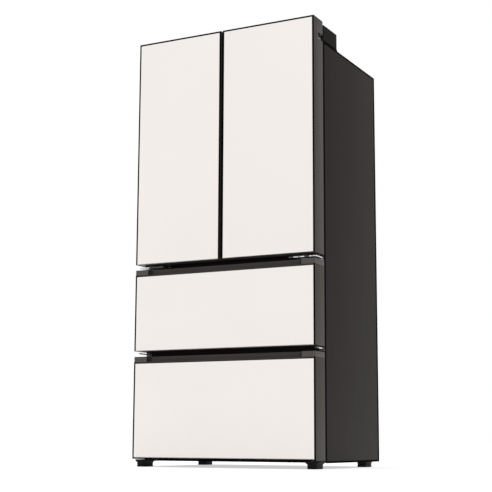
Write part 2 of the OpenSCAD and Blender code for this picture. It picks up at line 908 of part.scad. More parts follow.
module middle_drawer_panel() {
    drawer_panel(middle_lo, middle_panel_hi);
}

module middle_drawer_frame() {
    drawer_frame(middle_lo, middle_panel_hi);
}

module middle_drawer_grip() {
    drawer_grip(middle_panel_hi);
}

module middle_drawer_inner() {
    drawer_inner(middle_lo, middle_panel_hi, middle_z);
}

module middle_drawer_gasket() {
    drawer_gasket(middle_lo, middle_hi);
}

module middle_drawer_box() {
    color([0.85, 0.92, 0.95, 0.7])
        drawer_box(middle_box_d, middle_box_z, middle_rail_z);
}

module bottom_drawer_panel() {
    drawer_panel(bottom_lo, bottom_panel_hi);
}

module bottom_drawer_frame() {
    drawer_frame(bottom_lo, bottom_panel_hi);
}

module bottom_drawer_grip() {
    drawer_grip(bottom_panel_hi);
}

module bottom_drawer_inner() {
    drawer_inner(bottom_lo, bottom_panel_hi, freezer_z);
}

module bottom_drawer_gasket() {
    drawer_gasket(bottom_lo, bottom_hi);
}

module freezer_basket() {
    color("white") drawer_box(basket_d, basket_z, bottom_rail_z);
}

// A tray that slides forward on the rim of the basket
module freezer_tray() {
    back = door_back + plateau_d + basket_d;
    color([0.85, 0.92, 0.95, 0.7])
        tub([-box_hw, box_hw], [back - tray_d, back], tray_z, bin_t);
}

// ---- Nodes ----

side_panel_left();
side_panel_right();
roof_panel();
back_panel();
base_pan();
front_face();
cabinet_insulation();
fridge_liner();
middle_liner();
freezer_liner();
hinge_covers();
top_hinges();
middle_hinges();
beam_brackets();
levelling_feet();
machine_cover();
compressor();
condenser_coil();
condenser_fan();
drain_pan();
fridge_duct();
freezer_duct();
evaporator_coil();
evaporator_fan();
ceiling_light();
shelf_glass();
shelf_trim();
shelf_tracks();
crisper_left();
crisper_right();
slide_rails();
middle_slides();
bottom_slides();
left_door_panel();
left_door_frame();
left_door_insulation();
left_door_liner();
left_door_gasket();
left_door_bins();
flip_mullion();
right_door_panel();
right_door_frame();
right_door_insulation();
right_door_liner();
right_door_gasket();
right_door_bins();
dairy_lid();
middle_drawer_panel();
middle_drawer_frame();
middle_drawer_grip();
middle_drawer_inner();
middle_drawer_gasket();
middle_drawer_box();
bottom_drawer_panel();
bottom_drawer_frame();
bottom_drawer_grip();
bottom_drawer_inner();
bottom_drawer_gasket();
freezer_basket();
freezer_tray();
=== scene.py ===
"""Looks of a french door refrigerator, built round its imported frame.

Sizes are in metres, in the frame's own axes: +X to the right of someone facing the doors,
+Y to the back, +Z up, with the origin on the floor under the middle.
"""

import json
import math

import bmesh
import bpy
from mathutils import Euler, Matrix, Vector


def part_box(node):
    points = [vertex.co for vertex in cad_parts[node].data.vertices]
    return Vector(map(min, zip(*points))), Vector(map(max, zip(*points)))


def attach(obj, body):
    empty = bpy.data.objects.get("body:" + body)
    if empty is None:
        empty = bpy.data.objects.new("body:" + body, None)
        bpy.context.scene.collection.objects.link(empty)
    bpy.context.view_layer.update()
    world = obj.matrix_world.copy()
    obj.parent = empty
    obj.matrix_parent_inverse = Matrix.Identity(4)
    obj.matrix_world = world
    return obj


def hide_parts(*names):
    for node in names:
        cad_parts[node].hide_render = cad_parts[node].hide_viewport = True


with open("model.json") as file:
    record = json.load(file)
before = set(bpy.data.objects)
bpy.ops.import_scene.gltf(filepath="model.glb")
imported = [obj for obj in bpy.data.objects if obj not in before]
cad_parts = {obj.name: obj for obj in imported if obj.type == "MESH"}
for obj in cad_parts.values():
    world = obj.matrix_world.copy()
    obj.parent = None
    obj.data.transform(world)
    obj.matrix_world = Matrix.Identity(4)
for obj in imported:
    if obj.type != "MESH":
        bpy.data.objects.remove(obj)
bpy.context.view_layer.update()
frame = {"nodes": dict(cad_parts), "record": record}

bl_info = {
    "name": "French Door Refrigerator",
    "version": (1, 0, 0),
    "blender": (4, 5, 0),
    "location": "View3D > Sidebar > Refrigerator",
    "description": "Builds the finished surfaces, fittings and stage of a french door refrigerator",
    "category": "Object",
}

MM = 0.001
BODIES = frame["record"]["behaviour"]["bodies"]
BODY_OF = {node: body for body, nodes in BODIES.items() for node in nodes}
SLOT_OF = {part["node"]: part["material_slot"] for part in frame["record"]["subparts"]}
FRONTS = ("left_door", "right_door", "middle_drawer", "bottom_drawer")
SHARP = 35.0    # degrees between two faces, from which an edge counts as sharp
LOW, HIGH = 0, 1
X, Y, Z = 0, 1, 2


def srgb(red, green, blue):
    """A colour given as 0 to 255 display values, as linear red, green and blue."""
    def linear(value):
        value /= 255
        return value / 12.92 if value <= 0.04045 else ((value + 0.055) / 1.055) ** 2.4
    return (linear(red), linear(green), linear(blue))


# ---- Settings ----

def colour_setting(name, description, default):
    """A colour property with its own default."""
    return bpy.props.FloatVectorProperty(
        name=name, description=description, default=default, subtype="COLOR", min=0, max=1)


def length_setting(name, description, millimetres):
    """A length property, given in millimetres."""
    return bpy.props.FloatProperty(
        name=name, description=description, default=millimetres * MM, min=0,
        subtype="DISTANCE", unit="LENGTH", precision=4)


class FridgeColours(bpy.types.PropertyGroup):
    """Colours of the refrigerator's finishes."""

    panel: colour_setting("Face panels", "Paint of the doors and drawers", srgb(230, 225, 221))
    trim: colour_setting("Frames", "Paint of the frames round the fronts", srgb(59, 55, 51))
    rim: colour_setting("Front rims", "Dark edge round each face panel", srgb(8, 8, 8))
    cabinet: colour_setting("Cabinet", "Paint of the sides, roof and back", srgb(36, 32, 30))
    grip: colour_setting("Grips", "Moulding of the finger grips", srgb(72, 68, 65))
    cover: colour_setting("Covers", "Plastic of the hinge and machine covers", srgb(32, 30, 28))
    foot: colour_setting("Feet", "Plastic of the feet", srgb(15, 14, 14))
    liner: colour_setting("Liners", "Plastic of the compartments", srgb(238, 240, 241))
    gasket: colour_setting("Gaskets", "Rubber of the door seals", srgb(40, 39, 38))
    clear: colour_setting("Clear drawers", "Tint of the clear bins and drawers", srgb(238, 246, 249))
    glass: colour_setting("Shelf glass", "Tint of the shelf glass", srgb(242, 251, 248))
    foam: colour_setting("Foam", "Rigid foam inside the walls", srgb(222, 205, 150))


class FridgeEdges(bpy.types.PropertyGroup):
    """Sizes of rounded edges and small details."""

    sheet: length_setting("Sheet edge", "Rounding of folded sheet steel", 0.5)
    panel: length_setting("Panel edge", "Dark rounded edge of the face panels", 2.6)
    trim: length_setting("Frame edge", "Rounding of the frames", 0.8)
    moulding: length_setting("Moulding edge", "Rounding of plastic mouldings", 1.0)
    screw: length_setting("Screw radius", "Radius of a screw head", 4.0)


class FridgeStage(bpy.types.PropertyGroup):
    """Camera and light of the studio."""

    lens: bpy.props.FloatProperty(
        name="Lens", description="Focal length of the camera", default=86.05, min=10,
        subtype="DISTANCE_CAMERA")
    place: bpy.props.FloatVectorProperty(
        name="Camera place", description="Where the camera stands", subtype="XYZ",
        unit="LENGTH", default=(2.2889, -4.5007, 0.1036))
    turn: bpy.props.FloatProperty(
        name="Turn", description="Camera's turn about the upright", subtype="ANGLE",
        default=math.radians(27.585))
    pitch: bpy.props.FloatProperty(
        name="Pitch", description="Camera's tilt above the horizon", subtype="ANGLE",
        default=math.radians(9.451))
    roll: bpy.props.FloatProperty(
        name="Roll", description="Camera's roll", subtype="ANGLE", default=math.radians(0.248))
    daylight: bpy.props.FloatProperty(
        name="Daylight", description="Strength of the even light", default=1.0, min=0)


def colours():
    """The colour settings of this scene."""
    return bpy.context.scene.fridge_colours


def edges():
    """The edge settings of this scene."""
    return bpy.context.scene.fridge_edges


# ---- Finishes ----
class Nodes:
    """A node tree being built, with short ways to add and join its nodes."""

    def __init__(self, tree):
        self.tree = tree

    def join(self, value, socket):
        """Links an output to an input socket, or sets that socket to a value."""
        if isinstance(value, bpy.types.NodeSocket):
            self.tree.links.new(value, socket)
        else:
            socket.default_value = value

    def node(self, kind, settings=(), inputs=(), **links):
        """Adds a node and returns its first output.

        Inputs are sockets or values in order. Links go by input name, with _ for a space."""
        made = self.tree.nodes.new(kind)
        for name, value in dict(settings).items():
            setattr(made, name, value)
        for value, socket in zip(inputs, made.inputs):
            self.join(value, socket)
        for name, value in links.items():
            self.join(value, made.inputs[name.replace("_", " ")])
        return made.outputs[0]


# ---- Finishes ----

class Finish(Nodes):
    """A material being made round one tone."""

    def __init__(self, name, tone, roughness, metallic=0.0, **sockets):
        self.material = bpy.data.materials.new(f"{name}_finish")
        self.material.use_nodes = True
        super().__init__(self.material.node_tree)
        self.shader = self.tree.nodes["Principled BSDF"]
        self.tone = tone
        self.material.diffuse_color = (*tone, 1)
        sockets.update(Base_Color=(*tone, 1), Roughness=roughness, Metallic=metallic)
        for socket, value in sockets.items():
            self.shader.inputs[socket.replace("_", " ")].default_value = value
        self.place = self.tree.nodes.new("ShaderNodeTexCoord").outputs["Object"]

    def stretched(self, scale):
        """Object coordinates with a scale for each axis."""
        return self.node("ShaderNodeMapping", Vector=self.place, Scale=scale)

    def noise(self, scale, detail=2.0, vector=None):
        """Cloudy noise, from 0 to 1."""
        return self.node("ShaderNodeTexNoise", Vector=vector or self.place, Scale=scale,
                         Detail=detail)

    def cells(self, scale):
        """Distance to the nearest of many scattered points."""
        return self.node("ShaderNodeTexVoronoi", Vector=self.place, Scale=scale)

    def vary_roughness(self, value, low, high):
        """Roughness that follows a pattern."""
        ranged = self.node("ShaderNodeMapRange", Value=value, To_Min=low, To_Max=high)
        self.join(ranged, self.shader.inputs["Roughness"])

    def vary_colour(self, value, *ends):
        """Base colour that runs between two ends, each a colour or a share of the tone."""
        ramp = self.node("ShaderNodeValToRGB", Fac=value)
        for element, place, end in zip(ramp.node.color_ramp.elements, (0.3, 0.7), ends):
            element.position = place
            element.color = (*(shade(self.tone, end) if isinstance(end, float) else end), 1)
        self.join(ramp, self.shader.inputs["Base Color"])

    def bump(self, height, strength, depth):
        """Bump by a pattern, with its depth in metres."""
        normal = self.node("ShaderNodeBump", Height=height, Strength=strength, Distance=depth)
        self.join(normal, self.shader.inputs["Normal"])


def shade(colour, by):
    """A colour made lighter or darker by a factor."""
    return tuple(min(1.0, channel * by) for channel in colour)


def panel_paint():
    """Matt baked paint with a faint orange peel."""
    made = Finish("panel_paint", colours().panel, 0.42, Specular_IOR_Level=0.3)
    made.vary_colour(made.noise(1.6, 3.0), 0.985, 1.01)
    made.vary_roughness(made.noise(14.0, 4.0), 0.38, 0.47)
    made.bump(made.noise(420.0), 0.12, 0.0002)
    return made


def frame_paint():
    """Drawn metal trim with fine lengthwise lines under a satin paint."""
    made = Finish("frame_paint", colours().trim, 0.42, Specular_IOR_Level=0.08)
    lines = made.noise(1.0, 3.0, made.stretched((1500, 1500, 30)))
    made.vary_colour(lines, 0.93, 1.07)
    made.vary_roughness(lines, 0.36, 0.5)
    made.bump(lines, 0.1, 0.0001)
    return made


def rim_paint():
    """Near black edge that shows round the face panels."""
    made = Finish("rim_paint", colours().rim, 0.7, Specular_IOR_Level=0.005)
    made.vary_colour(made.noise(300.0), 0.85, 1.15)
    made.bump(made.noise(900.0), 0.1, 0.0001)
    return made


def cabinet_paint():
    """Charcoal coated steel with a fine pebble grain."""
    made = Finish("cabinet_paint", colours().cabinet, 0.5, Specular_IOR_Level=0.04)
    grain = made.noise(650.0, 2.5)
    made.vary_colour(made.noise(3.0, 4.0), 0.95, 1.05)
    made.vary_roughness(grain, 0.42, 0.58)
    made.bump(grain, 0.35, 0.0003)
    return made


def moulded(name, tone, roughness, grain=900.0, **sockets):
    """Moulded plastic with a spark-eroded grain."""
    made = Finish(name, tone, roughness, **sockets)
    speckle = made.noise(grain, 2.0)
    made.vary_colour(made.noise(9.0, 3.0), 0.94, 1.05)
    made.vary_roughness(speckle, roughness - 0.06, roughness + 0.06)
    made.bump(speckle, 0.25, 0.0002)
    return made


def liner_plastic():
    """Glossy white vacuum formed sheet, with the slight ripple that forming leaves."""
    made = Finish("liner_plastic", colours().liner, 0.28, Coat_Weight=0.25, Coat_Roughness=0.12)
    made.vary_colour(made.noise(2.2), 0.975, 1.0)
    made.vary_roughness(made.noise(20.0, 3.0), 0.24, 0.34)
    made.bump(made.noise(26.0), 0.08, 0.0006)
    return made


def gasket_rubber():
    """Soft extruded rubber with a dusty skin."""
    made = Finish("gasket_rubber", colours().gasket, 0.62, Specular_IOR_Level=0.25)
    made.vary_colour(made.noise(60.0, 4.0), 0.88, 1.1)
    made.bump(made.noise(1200.0), 0.2, 0.0002)
    return made


def see_through(name, tone, roughness, weight, ior):
    """Clear plastic or glass with faint streaks in its gloss."""
    made = Finish(name, tone, roughness, Transmission_Weight=weight, IOR=ior)
    streaks = made.noise(8.0, 5.0, made.stretched((1, 1, 6)))
    made.vary_roughness(streaks, roughness * 0.6, roughness * 1.6)
    made.bump(made.noise(90.0), 0.04, 0.0002)
    return made


def zinc_steel():
    """Zinc plated sheet with a soft spangle and fine rolling lines."""
    made = Finish("zinc_steel", srgb(214, 216, 218), 0.32, 1.0)
    made.vary_colour(made.cells(110.0), srgb(196, 199, 203), srgb(230, 231, 232))
    made.vary_roughness(made.noise(1.0, 3.0, made.stretched((40, 900, 900))), 0.24, 0.42)
    made.bump(made.noise(700.0), 0.08, 0.0001)
    return made


def black_enamel():
    """Dipped black enamel with small runs."""
    made = Finish("black_enamel", srgb(30, 30, 31), 0.3, Coat_Weight=0.4, Coat_Roughness=0.15)
    made.vary_colour(made.noise(30.0, 4.0), srgb(24, 24, 25), srgb(40, 39, 38))
    made.bump(made.noise(120.0, 3.0), 0.2, 0.0004)
    return made


def coil_aluminium():
    """Bare drawn aluminium."""
    made = Finish("coil_aluminium", srgb(206, 208, 210), 0.35, 1.0)
    made.vary_roughness(made.noise(80.0, 4.0), 0.28, 0.48)
    made.vary_colour(made.noise(40.0, 3.0), srgb(188, 190, 193), srgb(216, 218, 220))
    made.bump(made.noise(600.0), 0.1, 0.0001)
    return made


def foam():
    """Rigid foam with its skin and bubbles."""
    made = Finish("foam", colours().foam, 0.85)
    made.vary_colour(made.noise(18.0, 5.0), 0.86, 1.06)
    made.bump(made.cells(420.0), 0.5, 0.0008)
    return made


def light_lens():
    """Frosted lens that glows softly."""
    made = Finish("light_lens", srgb(250, 249, 244), 0.35, Emission_Strength=2.5,
                  Emission_Color=(1.0, 0.98, 0.94, 1))
    made.vary_roughness(made.noise(200.0), 0.3, 0.45)
    made.bump(made.noise(500.0), 0.15, 0.0002)
    return made


FINISHES = {
    "panel_paint": panel_paint,
    "frame_paint": frame_paint,
    "rim_paint": rim_paint,
    "cabinet_paint": cabinet_paint,
    "grip_plastic": lambda: moulded("grip_plastic", colours().grip, 0.5, Specular_IOR_Level=0.2),
    # Painted shade: darkened copies of the grip moulding, for the grip recesses (0.7) and their end
    # walls (0.3)
    "recess_plastic": lambda: moulded("recess_plastic", shade(colours().grip, 0.7), 0.6,
                                      Specular_IOR_Level=0.1),
    "grip_shade": lambda: moulded("grip_shade", shade(colours().grip, 0.3), 0.6,
                                  Specular_IOR_Level=0.1),
    "cover_plastic": lambda: moulded("cover_plastic", colours().cover, 0.52, 700.0,
                                     Specular_IOR_Level=0.01),
    "foot_plastic": lambda: moulded("foot_plastic", colours().foot, 0.55, 500.0,
                                    Specular_IOR_Level=0.1),
    "fan_plastic": lambda: moulded("fan_plastic", srgb(46, 46, 47), 0.42),
    "trim_plastic": lambda: moulded("trim_plastic", srgb(198, 201, 204), 0.35),
    "liner_plastic": liner_plastic,
    "gasket_rubber": gasket_rubber,
    "clear_plastic": lambda: see_through("clear_plastic", colours().clear, 0.1, 0.86, 1.49),
    "shelf_glass": lambda: see_through("shelf_glass", colours().glass, 0.03, 0.95, 1.52),
    "zinc_steel": zinc_steel,
    "black_enamel": black_enamel,
    "coil_aluminium": coil_aluminium,
    "foam": foam,
    "light_lens": light_lens,
}


def finish(name):
    """The material of that name, made when it is first asked for."""
    return bpy.data.materials.get(f"{name}_finish") or FINISHES[name]().material

# ---- Mesh helpers ----

def span(node, axis):
    """A CAD node's lowest and highest value along one axis."""
    low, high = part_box(node)
    return low[axis], high[axis]


def spans(node):
    """A CAD node's runs along X, Y and Z."""
    return [span(node, axis) for axis in (X, Y, Z)]


def keep(mesh, name, body, material, *replaced):
    """Turns a bmesh into a piece that rides on a body and may stand for CAD nodes."""
    data = bpy.data.meshes.new(name)
    mesh.to_mesh(data)
    mesh.free()
    data.materials.append(finish(material))
    piece = bpy.data.objects.new(name, data)
    bpy.context.scene.collection.objects.link(piece)
    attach(piece, body)
    if replaced:
        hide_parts(*replaced)
    return piece


def settled(piece):
    """Applies a piece's modifiers, so that what is kept is a plain mesh."""
    graph = bpy.context.evaluated_depsgraph_get()
    data = bpy.data.meshes.new_from_object(piece.evaluated_get(graph))
    piece.modifiers.clear()
    old = piece.data
    piece.data = data
    bpy.data.meshes.remove(old)
    return piece


def merged_copy(node):
    """A CAD node's mesh with its corners joined and its flat faces made whole."""
    mesh = bmesh.new()
    mesh.from_mesh(frame["nodes"][node].data)
    bmesh.ops.remove_doubles(mesh, verts=mesh.verts, dist=1e-6)
    bmesh.ops.dissolve_limit(
        mesh, angle_limit=math.radians(0.5), verts=mesh.verts, edges=mesh.edges)
    return mesh


def round_edges(piece, width, segments=3):
    """Rounds a piece's sharp edges and shades it smoothly."""
    bevel = piece.modifiers.new("rounding", "BEVEL")
    bevel.width = width
    bevel.segments = segments
    bevel.limit_method = "ANGLE"
    bevel.angle_limit = math.radians(SHARP)
    bevel.harden_normals = True
    bevel.use_clamp_overlap = True
    for face in piece.data.polygons:
        face.use_smooth = True
    return settled(piece)


def softened(node, width, mesh=None):
    """A CAD node's shape with rounded edges, which stands for that node."""
    piece = keep(mesh or merged_copy(node), f"{node}_finished", BODY_OF[node], SLOT_OF[node],
                 node)
    return round_edges(piece, width)


def lowered(node, front):
    """A front's panel or frame, with the panel's lower edge brought down over the frame."""
    low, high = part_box(f"{front}_panel")
    near = 0.2 * MM
    drop = 0 if front == "bottom_drawer" else 4.9 * MM
    mesh = merged_copy(node)
    for vert in mesh.verts:
        if abs(vert.co.z - low.z) < near and vert.co.y < high.y + near:
            vert.co.z -= drop
    return mesh


def skin(mesh, loops, ring=False):
    """Joins loops of points in turn. A ring also joins its last to its first, and has no caps."""
    loops = [[mesh.verts.new(point) for point in loop] for loop in loops]
    for loop, after in zip(loops, loops[1:] + loops[:ring]):
        for i in range(len(loop)):
            mesh.faces.new((loop[i - 1], loop[i], after[i], after[i - 1]))
    if not ring:
        mesh.faces.new(list(reversed(loops[0])))
        mesh.faces.new(loops[-1])


def solid(name, body, material, shapes, *replaced, ring=False):
    """One piece made of closed shapes, each given by its loops of points."""
    mesh = bmesh.new()
    for loops in shapes:
        skin(mesh, loops, ring)
    bmesh.ops.recalc_face_normals(mesh, faces=mesh.faces)
    return keep(mesh, name, body, material, *replaced)


def boxes(name, body, material, blocks, width):
    """One piece made of several rounded boxes, each given by its runs along X, Y and Z."""
    square = ((LOW, LOW), (HIGH, LOW), (HIGH, HIGH), (LOW, HIGH))
    shapes = [[[(x[i], y[j], level) for i, j in square] for level in z] for x, y, z in blocks]
    return round_edges(solid(name, body, material, shapes), width, 2)


def rounded_loop(first, second, by, corner):
    """Points round a rectangle given by two runs, shrunk by an inset, with rounded corners."""
    a, b = inset(first, by), inset(second, by)
    if not corner:
        return [(a[LOW], b[LOW]), (a[HIGH], b[LOW]), (a[HIGH], b[HIGH]), (a[LOW], b[HIGH])]
    radius = max(corner - by, 0.5 * MM)
    steps = 6
    points = []
    for i, j, start in ((HIGH, LOW, -90), (HIGH, HIGH, 0), (LOW, HIGH, 90), (LOW, LOW, 180)):
        centre_a, centre_b = inset(a, radius)[i], inset(b, radius)[j]
        for step in range(steps + 1):
            angle = math.radians(start + 90 * step / steps)
            points.append((centre_a + radius * math.cos(angle),
                           centre_b + radius * math.sin(angle)))
    return points


def shell(name, body, material, plane, first, second, profile, *replaced, corner=0.0,
          ring=False):
    """Carries a profile of (inset, level) round a rectangle. Plane is floor or face."""
    loops = [[(a, b, level) if plane == "floor" else (a, level, b)
              for a, b in rounded_loop(first, second, by, corner)] for by, level in profile]
    return smoothed(solid(name, body, material, [loops], *replaced, ring=ring))


def cut_plate(name, body, material, outline, y, *replaced):
    """A flat plate of any outline in (x, z), between two depths."""
    loops = [[(a, level, b) for a, b in outline] for level in y]
    return solid(name, body, material, [loops], *replaced)


def smoothed(piece, angle=SHARP):
    """Smooth shading that keeps the sharp edges of a plain mesh."""
    piece.data.shade_smooth()
    piece.data.set_sharp_from_angle(angle=math.radians(angle))
    return piece


def tub(name, body, material, x, y, z, *replaced, wall=2.5 * MM, corner=10 * MM,
        draft=2 * MM, lip=1.5 * MM):
    """A moulded tub, open at the top, with a rolled lip and drawn-in walls."""
    low, high = z
    foot = corner * 0.45
    profile = [(draft + foot + lip, low), (draft + foot * 0.4 + lip, low + foot * 0.1),
               (draft + foot * 0.1 + lip, low + foot * 0.4), (draft + lip, low + foot),
               (lip, high - 8 * MM), (lip * 0.4, high - 6.5 * MM), (0, high - 5 * MM),
               (0, high - 1 * MM), (0.6 * MM, high), (lip + wall - 0.6 * MM, high),
               (lip + wall, high - 1 * MM), (lip + wall + draft, low + foot + wall),
               (lip + wall + draft + foot * 0.3, low + foot * 0.3 + wall),
               (lip + wall + draft + foot, low + wall)]
    return shell(name, body, material, "floor", x, y, profile, *replaced, corner=corner)


def solids(node):
    """Lowest and highest corner of each separate solid of a CAD node, from the lowest up."""
    mesh = merged_copy(node)
    left = set(mesh.verts)
    found = []
    while left:
        seen = {left.pop()}
        reached = list(seen)
        while reached:
            for edge in reached.pop().link_edges:
                new = set(edge.verts) - seen
                seen |= new
                reached += new
        left -= seen
        places = [vert.co for vert in seen]
        found.append((Vector([min(p[i] for p in places) for i in range(3)]),
                      Vector([max(p[i] for p in places) for i in range(3)])))
    mesh.free()
    return sorted(found, key=lambda pair: (round(pair[0].z, 3), pair[0].x))


def runs(low, high):
    """Two corners as three runs along X, Y and Z."""
    return tuple((low[i], high[i]) for i in range(3))


def inset(run, by):
    """A run with both ends moved inwards."""
    return run[LOW] + by, run[HIGH] - by


def middle(run):
    """The place halfway along a run."""
    return (run[LOW] + run[HIGH]) / 2


def step_of(run, count):
    """The distance between places that are spread evenly from end to end of a run."""
    return (run[HIGH] - run[LOW]) / (count - 1)


def spread(run, count):
    """Places spread evenly from end to end of a run."""
    return [run[LOW] + i * step_of(run, count) for i in range(count)]


def serpentine(run, y, levels, bend=0.0):
    """A path back and forth across a run, one pass at each level, with half-round bends."""
    path = []
    for i, level in enumerate(levels):
        start, end = reversed(run) if i % 2 else run
        path += [(start, y, level), (end, y, level)]
        if bend and i < len(levels) - 1:
            out = -bend if i % 2 else bend
            path += [(end + out * math.sin(angle), y, level + bend * (1 - math.cos(angle)))
                     for angle in (math.pi * step / 8 for step in range(1, 8))]
    return path


def lathe(name, body, material, centre, axis, profile, *replaced, steps=48):
    """Turns a profile of (radius, height) about an axis through a centre."""
    turn = Vector((0, 0, 1)).rotation_difference(Vector(axis))
    loops = []
    for radius, height in profile:
        angles = [2 * math.pi * i / steps for i in range(steps)]
        loops.append([Vector(centre) + turn @ Vector((radius * math.cos(angle),
                                                      radius * math.sin(angle), height))
                      for angle in angles])
    return smoothed(solid(name, body, material, [loops], *replaced))


def tube(name, body, material, paths, radius, *replaced):
    """Round tubes along open paths of points, kept as one plain piece."""
    curve = bpy.data.curves.new(name, "CURVE")
    curve.dimensions = "3D"
    curve.bevel_depth = radius
    curve.bevel_resolution = 2
    curve.use_fill_caps = True
    for path in paths:
        spline = curve.splines.new("POLY")
        spline.points.add(len(path) - 1)
        for point, place in zip(spline.points, path):
            point.co = (*place, 1)
    holder = bpy.data.objects.new(name + "_path", curve)
    bpy.context.scene.collection.objects.link(holder)
    graph = bpy.context.evaluated_depsgraph_get()
    data = bpy.data.meshes.new_from_object(holder.evaluated_get(graph))
    bpy.data.objects.remove(holder)
    data.name = name
    mesh = bmesh.new()
    mesh.from_mesh(data)
    bmesh.ops.remove_doubles(mesh, verts=mesh.verts, dist=1e-6)
    bmesh.ops.recalc_face_normals(mesh, faces=mesh.faces)
    bpy.data.meshes.remove(data)
    return smoothed(keep(mesh, name, body, material, *replaced))


def paint_faces(piece, material, chosen):
    """Gives a second finish to the faces that a test on centre and normal picks."""
    piece.data.materials.append(finish(material))
    for face in piece.data.polygons:
        if chosen(face.center, face.normal):
            face.material_index = len(piece.data.materials) - 1
    return piece


# ---- Geometry node trees for what repeats ----

class Tree(Nodes):
    """A geometry node tree with named inputs, ending in Realize Instances and Set Material."""

    def __init__(self, name):
        super().__init__(bpy.data.node_groups.new(name, "GeometryNodeTree"))
        for side in ("INPUT", "OUTPUT"):
            self.tree.interface.new_socket("Geometry", in_out=side,
                                           socket_type="NodeSocketGeometry")
        self.source = self.tree.nodes.new("NodeGroupInput")

    def size(self, name, kind="NodeSocketFloat", default=None):
        """Adds a named input and returns its socket."""
        socket = self.tree.interface.new_socket(name, in_out="INPUT", socket_type=kind)
        if default is not None:
            socket.default_value = default
        return self.source.outputs[name]

    def math(self, operation, *values):
        """The result of a sum on two numbers or sockets."""
        return self.node("ShaderNodeMath", {"operation": operation}, values)

    def vector(self, *values):
        """A vector from three numbers or sockets."""
        return self.node("ShaderNodeCombineXYZ", (), values)

    def copies(self, points, shape, **links):
        """A shape at each of some points."""
        return self.node("GeometryNodeInstanceOnPoints", Points=points, Instance=shape, **links)

    def rows(self, shape, **links):
        """A shape repeated along a line from each point of the mesh."""
        count = self.size("Count", "NodeSocketInt", 5)
        spacing = self.size("Spacing", "NodeSocketVector")
        line = self.node("GeometryNodeMeshLine", {"mode": "OFFSET"}, Count=count,
                         Offset=spacing)
        return self.copies(self.source.outputs["Geometry"], self.copies(line, shape, **links))

    def end(self, geometry):
        """Joins the result to the output."""
        material = self.size("Material", "NodeSocketMaterial")
        real = self.node("GeometryNodeRealizeInstances", Geometry=geometry)
        painted = self.node("GeometryNodeSetMaterial", Geometry=real, Material=material)
        output = self.tree.nodes.new("NodeGroupOutput")
        self.join(painted, output.inputs["Geometry"])
        return self.tree


def screw_tree():
    """A cross-head screw at each point of a mesh, all facing one way."""
    tree = Tree("screws")
    radius = tree.size("Head radius", default=0.004)
    height = tree.size("Head height", default=0.0015)
    turn = tree.size("Turn", "NodeSocketRotation")
    top, long_arm, short_arm = (tree.math("MULTIPLY", radius, share)
                                for share in (0.72, 1.1, 0.22))
    head = tree.node("GeometryNodeMeshCone", {"fill_type": "NGON"}, Vertices=24,
                     Radius_Top=top, Radius_Bottom=radius, Depth=height)
    cross = tree.node("GeometryNodeMeshBoolean",
                      {"operation": "DIFFERENCE", "solver": "EXACT"}, (head,))
    for x, y in ((long_arm, short_arm), (short_arm, long_arm)):
        slot = tree.node("GeometryNodeMeshCube", Size=tree.vector(x, y, height))
        lifted = tree.node("GeometryNodeTransform", Geometry=slot,
                           Translation=tree.vector(0, 0, height))
        tree.join(lifted, cross.node.inputs[1])
    return tree.end(tree.copies(tree.source.outputs["Geometry"], cross, Rotation=turn))


def row_tree():
    """A box repeated along a line from each point of a mesh."""
    tree = Tree("row")
    size = tree.size("Size", "NodeSocketVector")
    turn = tree.size("Turn", "NodeSocketRotation")
    return tree.end(tree.rows(tree.node("GeometryNodeMeshCube", Size=size), Rotation=turn))


def bead_tree():
    """A long bead with round ends, repeated along a line from each point of a mesh."""
    tree = Tree("beads")
    length = tree.size("Length", default=0.1)
    stretch = tree.size("Stretch", "NodeSocketVector", (1, 1, 1))
    radius = tree.size("Radius", default=0.005)
    path = tree.node("GeometryNodeCurvePrimitiveLine", End=tree.vector(0, 0, length))
    fine = tree.node("GeometryNodeResampleCurve", {"mode": "COUNT"}, Curve=path, Count=24)
    along = tree.node("GeometryNodeSplineParameter")
    from_end = tree.math("MINIMUM", along, tree.math("SUBTRACT", 1.0, along))
    taper = tree.node("ShaderNodeMapRange", Value=from_end, From_Min=0.0, From_Max=0.08,
                      To_Min=0.25, To_Max=1.0)
    ring = tree.node("GeometryNodeCurvePrimitiveCircle", {"mode": "RADIUS"}, Resolution=12,
                     Radius=1.0)
    bead = tree.node("GeometryNodeCurveToMesh", Curve=fine, Profile_Curve=ring, Fill_Caps=True,
                     Scale=tree.math("MULTIPLY", taper, radius))
    slim = tree.node("GeometryNodeTransform", Geometry=bead, Scale=stretch)
    return tree.end(tree.rows(slim))


TREES = {"screws": screw_tree, "row": row_tree, "beads": bead_tree}


def grown(name, body, material, tree_name, points, smooth=False, **sizes):
    """Runs a tree on a set of points and keeps the result as a plain piece."""
    tree = bpy.data.node_groups.get(tree_name) or TREES[tree_name]()
    data = bpy.data.meshes.new(name)
    data.from_pydata([tuple(point) for point in points], [], [])
    piece = bpy.data.objects.new(name, data)
    bpy.context.scene.collection.objects.link(piece)
    modifier = piece.modifiers.new(tree_name, "NODES")
    modifier.node_group = tree
    sockets = {item.name: item.identifier for item in tree.interface.items_tree
               if item.in_out == "INPUT"}
    sizes["Material"] = finish(material)
    for label, value in sizes.items():
        modifier[sockets[label.replace("_", " ")]] = value
    settled(piece)
    for face in piece.data.polygons:
        face.use_smooth = smooth
    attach(piece, body)
    return piece


def bars(name, body, material, run, y, z, count, size):
    """Bars spread evenly along X."""
    return grown(name, body, material, "row", [(run[LOW], y, z)], Count=count,
                 Spacing=(step_of(run, count), 0, 0), Size=size)


FACING = {
    "up": Euler((0, 0, 0)),
    "down": Euler((math.pi, 0, 0)),
    "front": Euler((math.pi / 2, 0, 0)),
    "back": Euler((-math.pi / 2, 0, 0)),
}


def screws(name, body, points, facing, radius=None, material="zinc_steel"):
    """Screw heads at points, all facing one way."""
    radius = radius or edges().screw
    return grown(name, body, material, "screws", points, Head_radius=radius,
                 Head_height=radius * 0.45, Turn=tuple(FACING[facing]))


# ---- Pieces ----

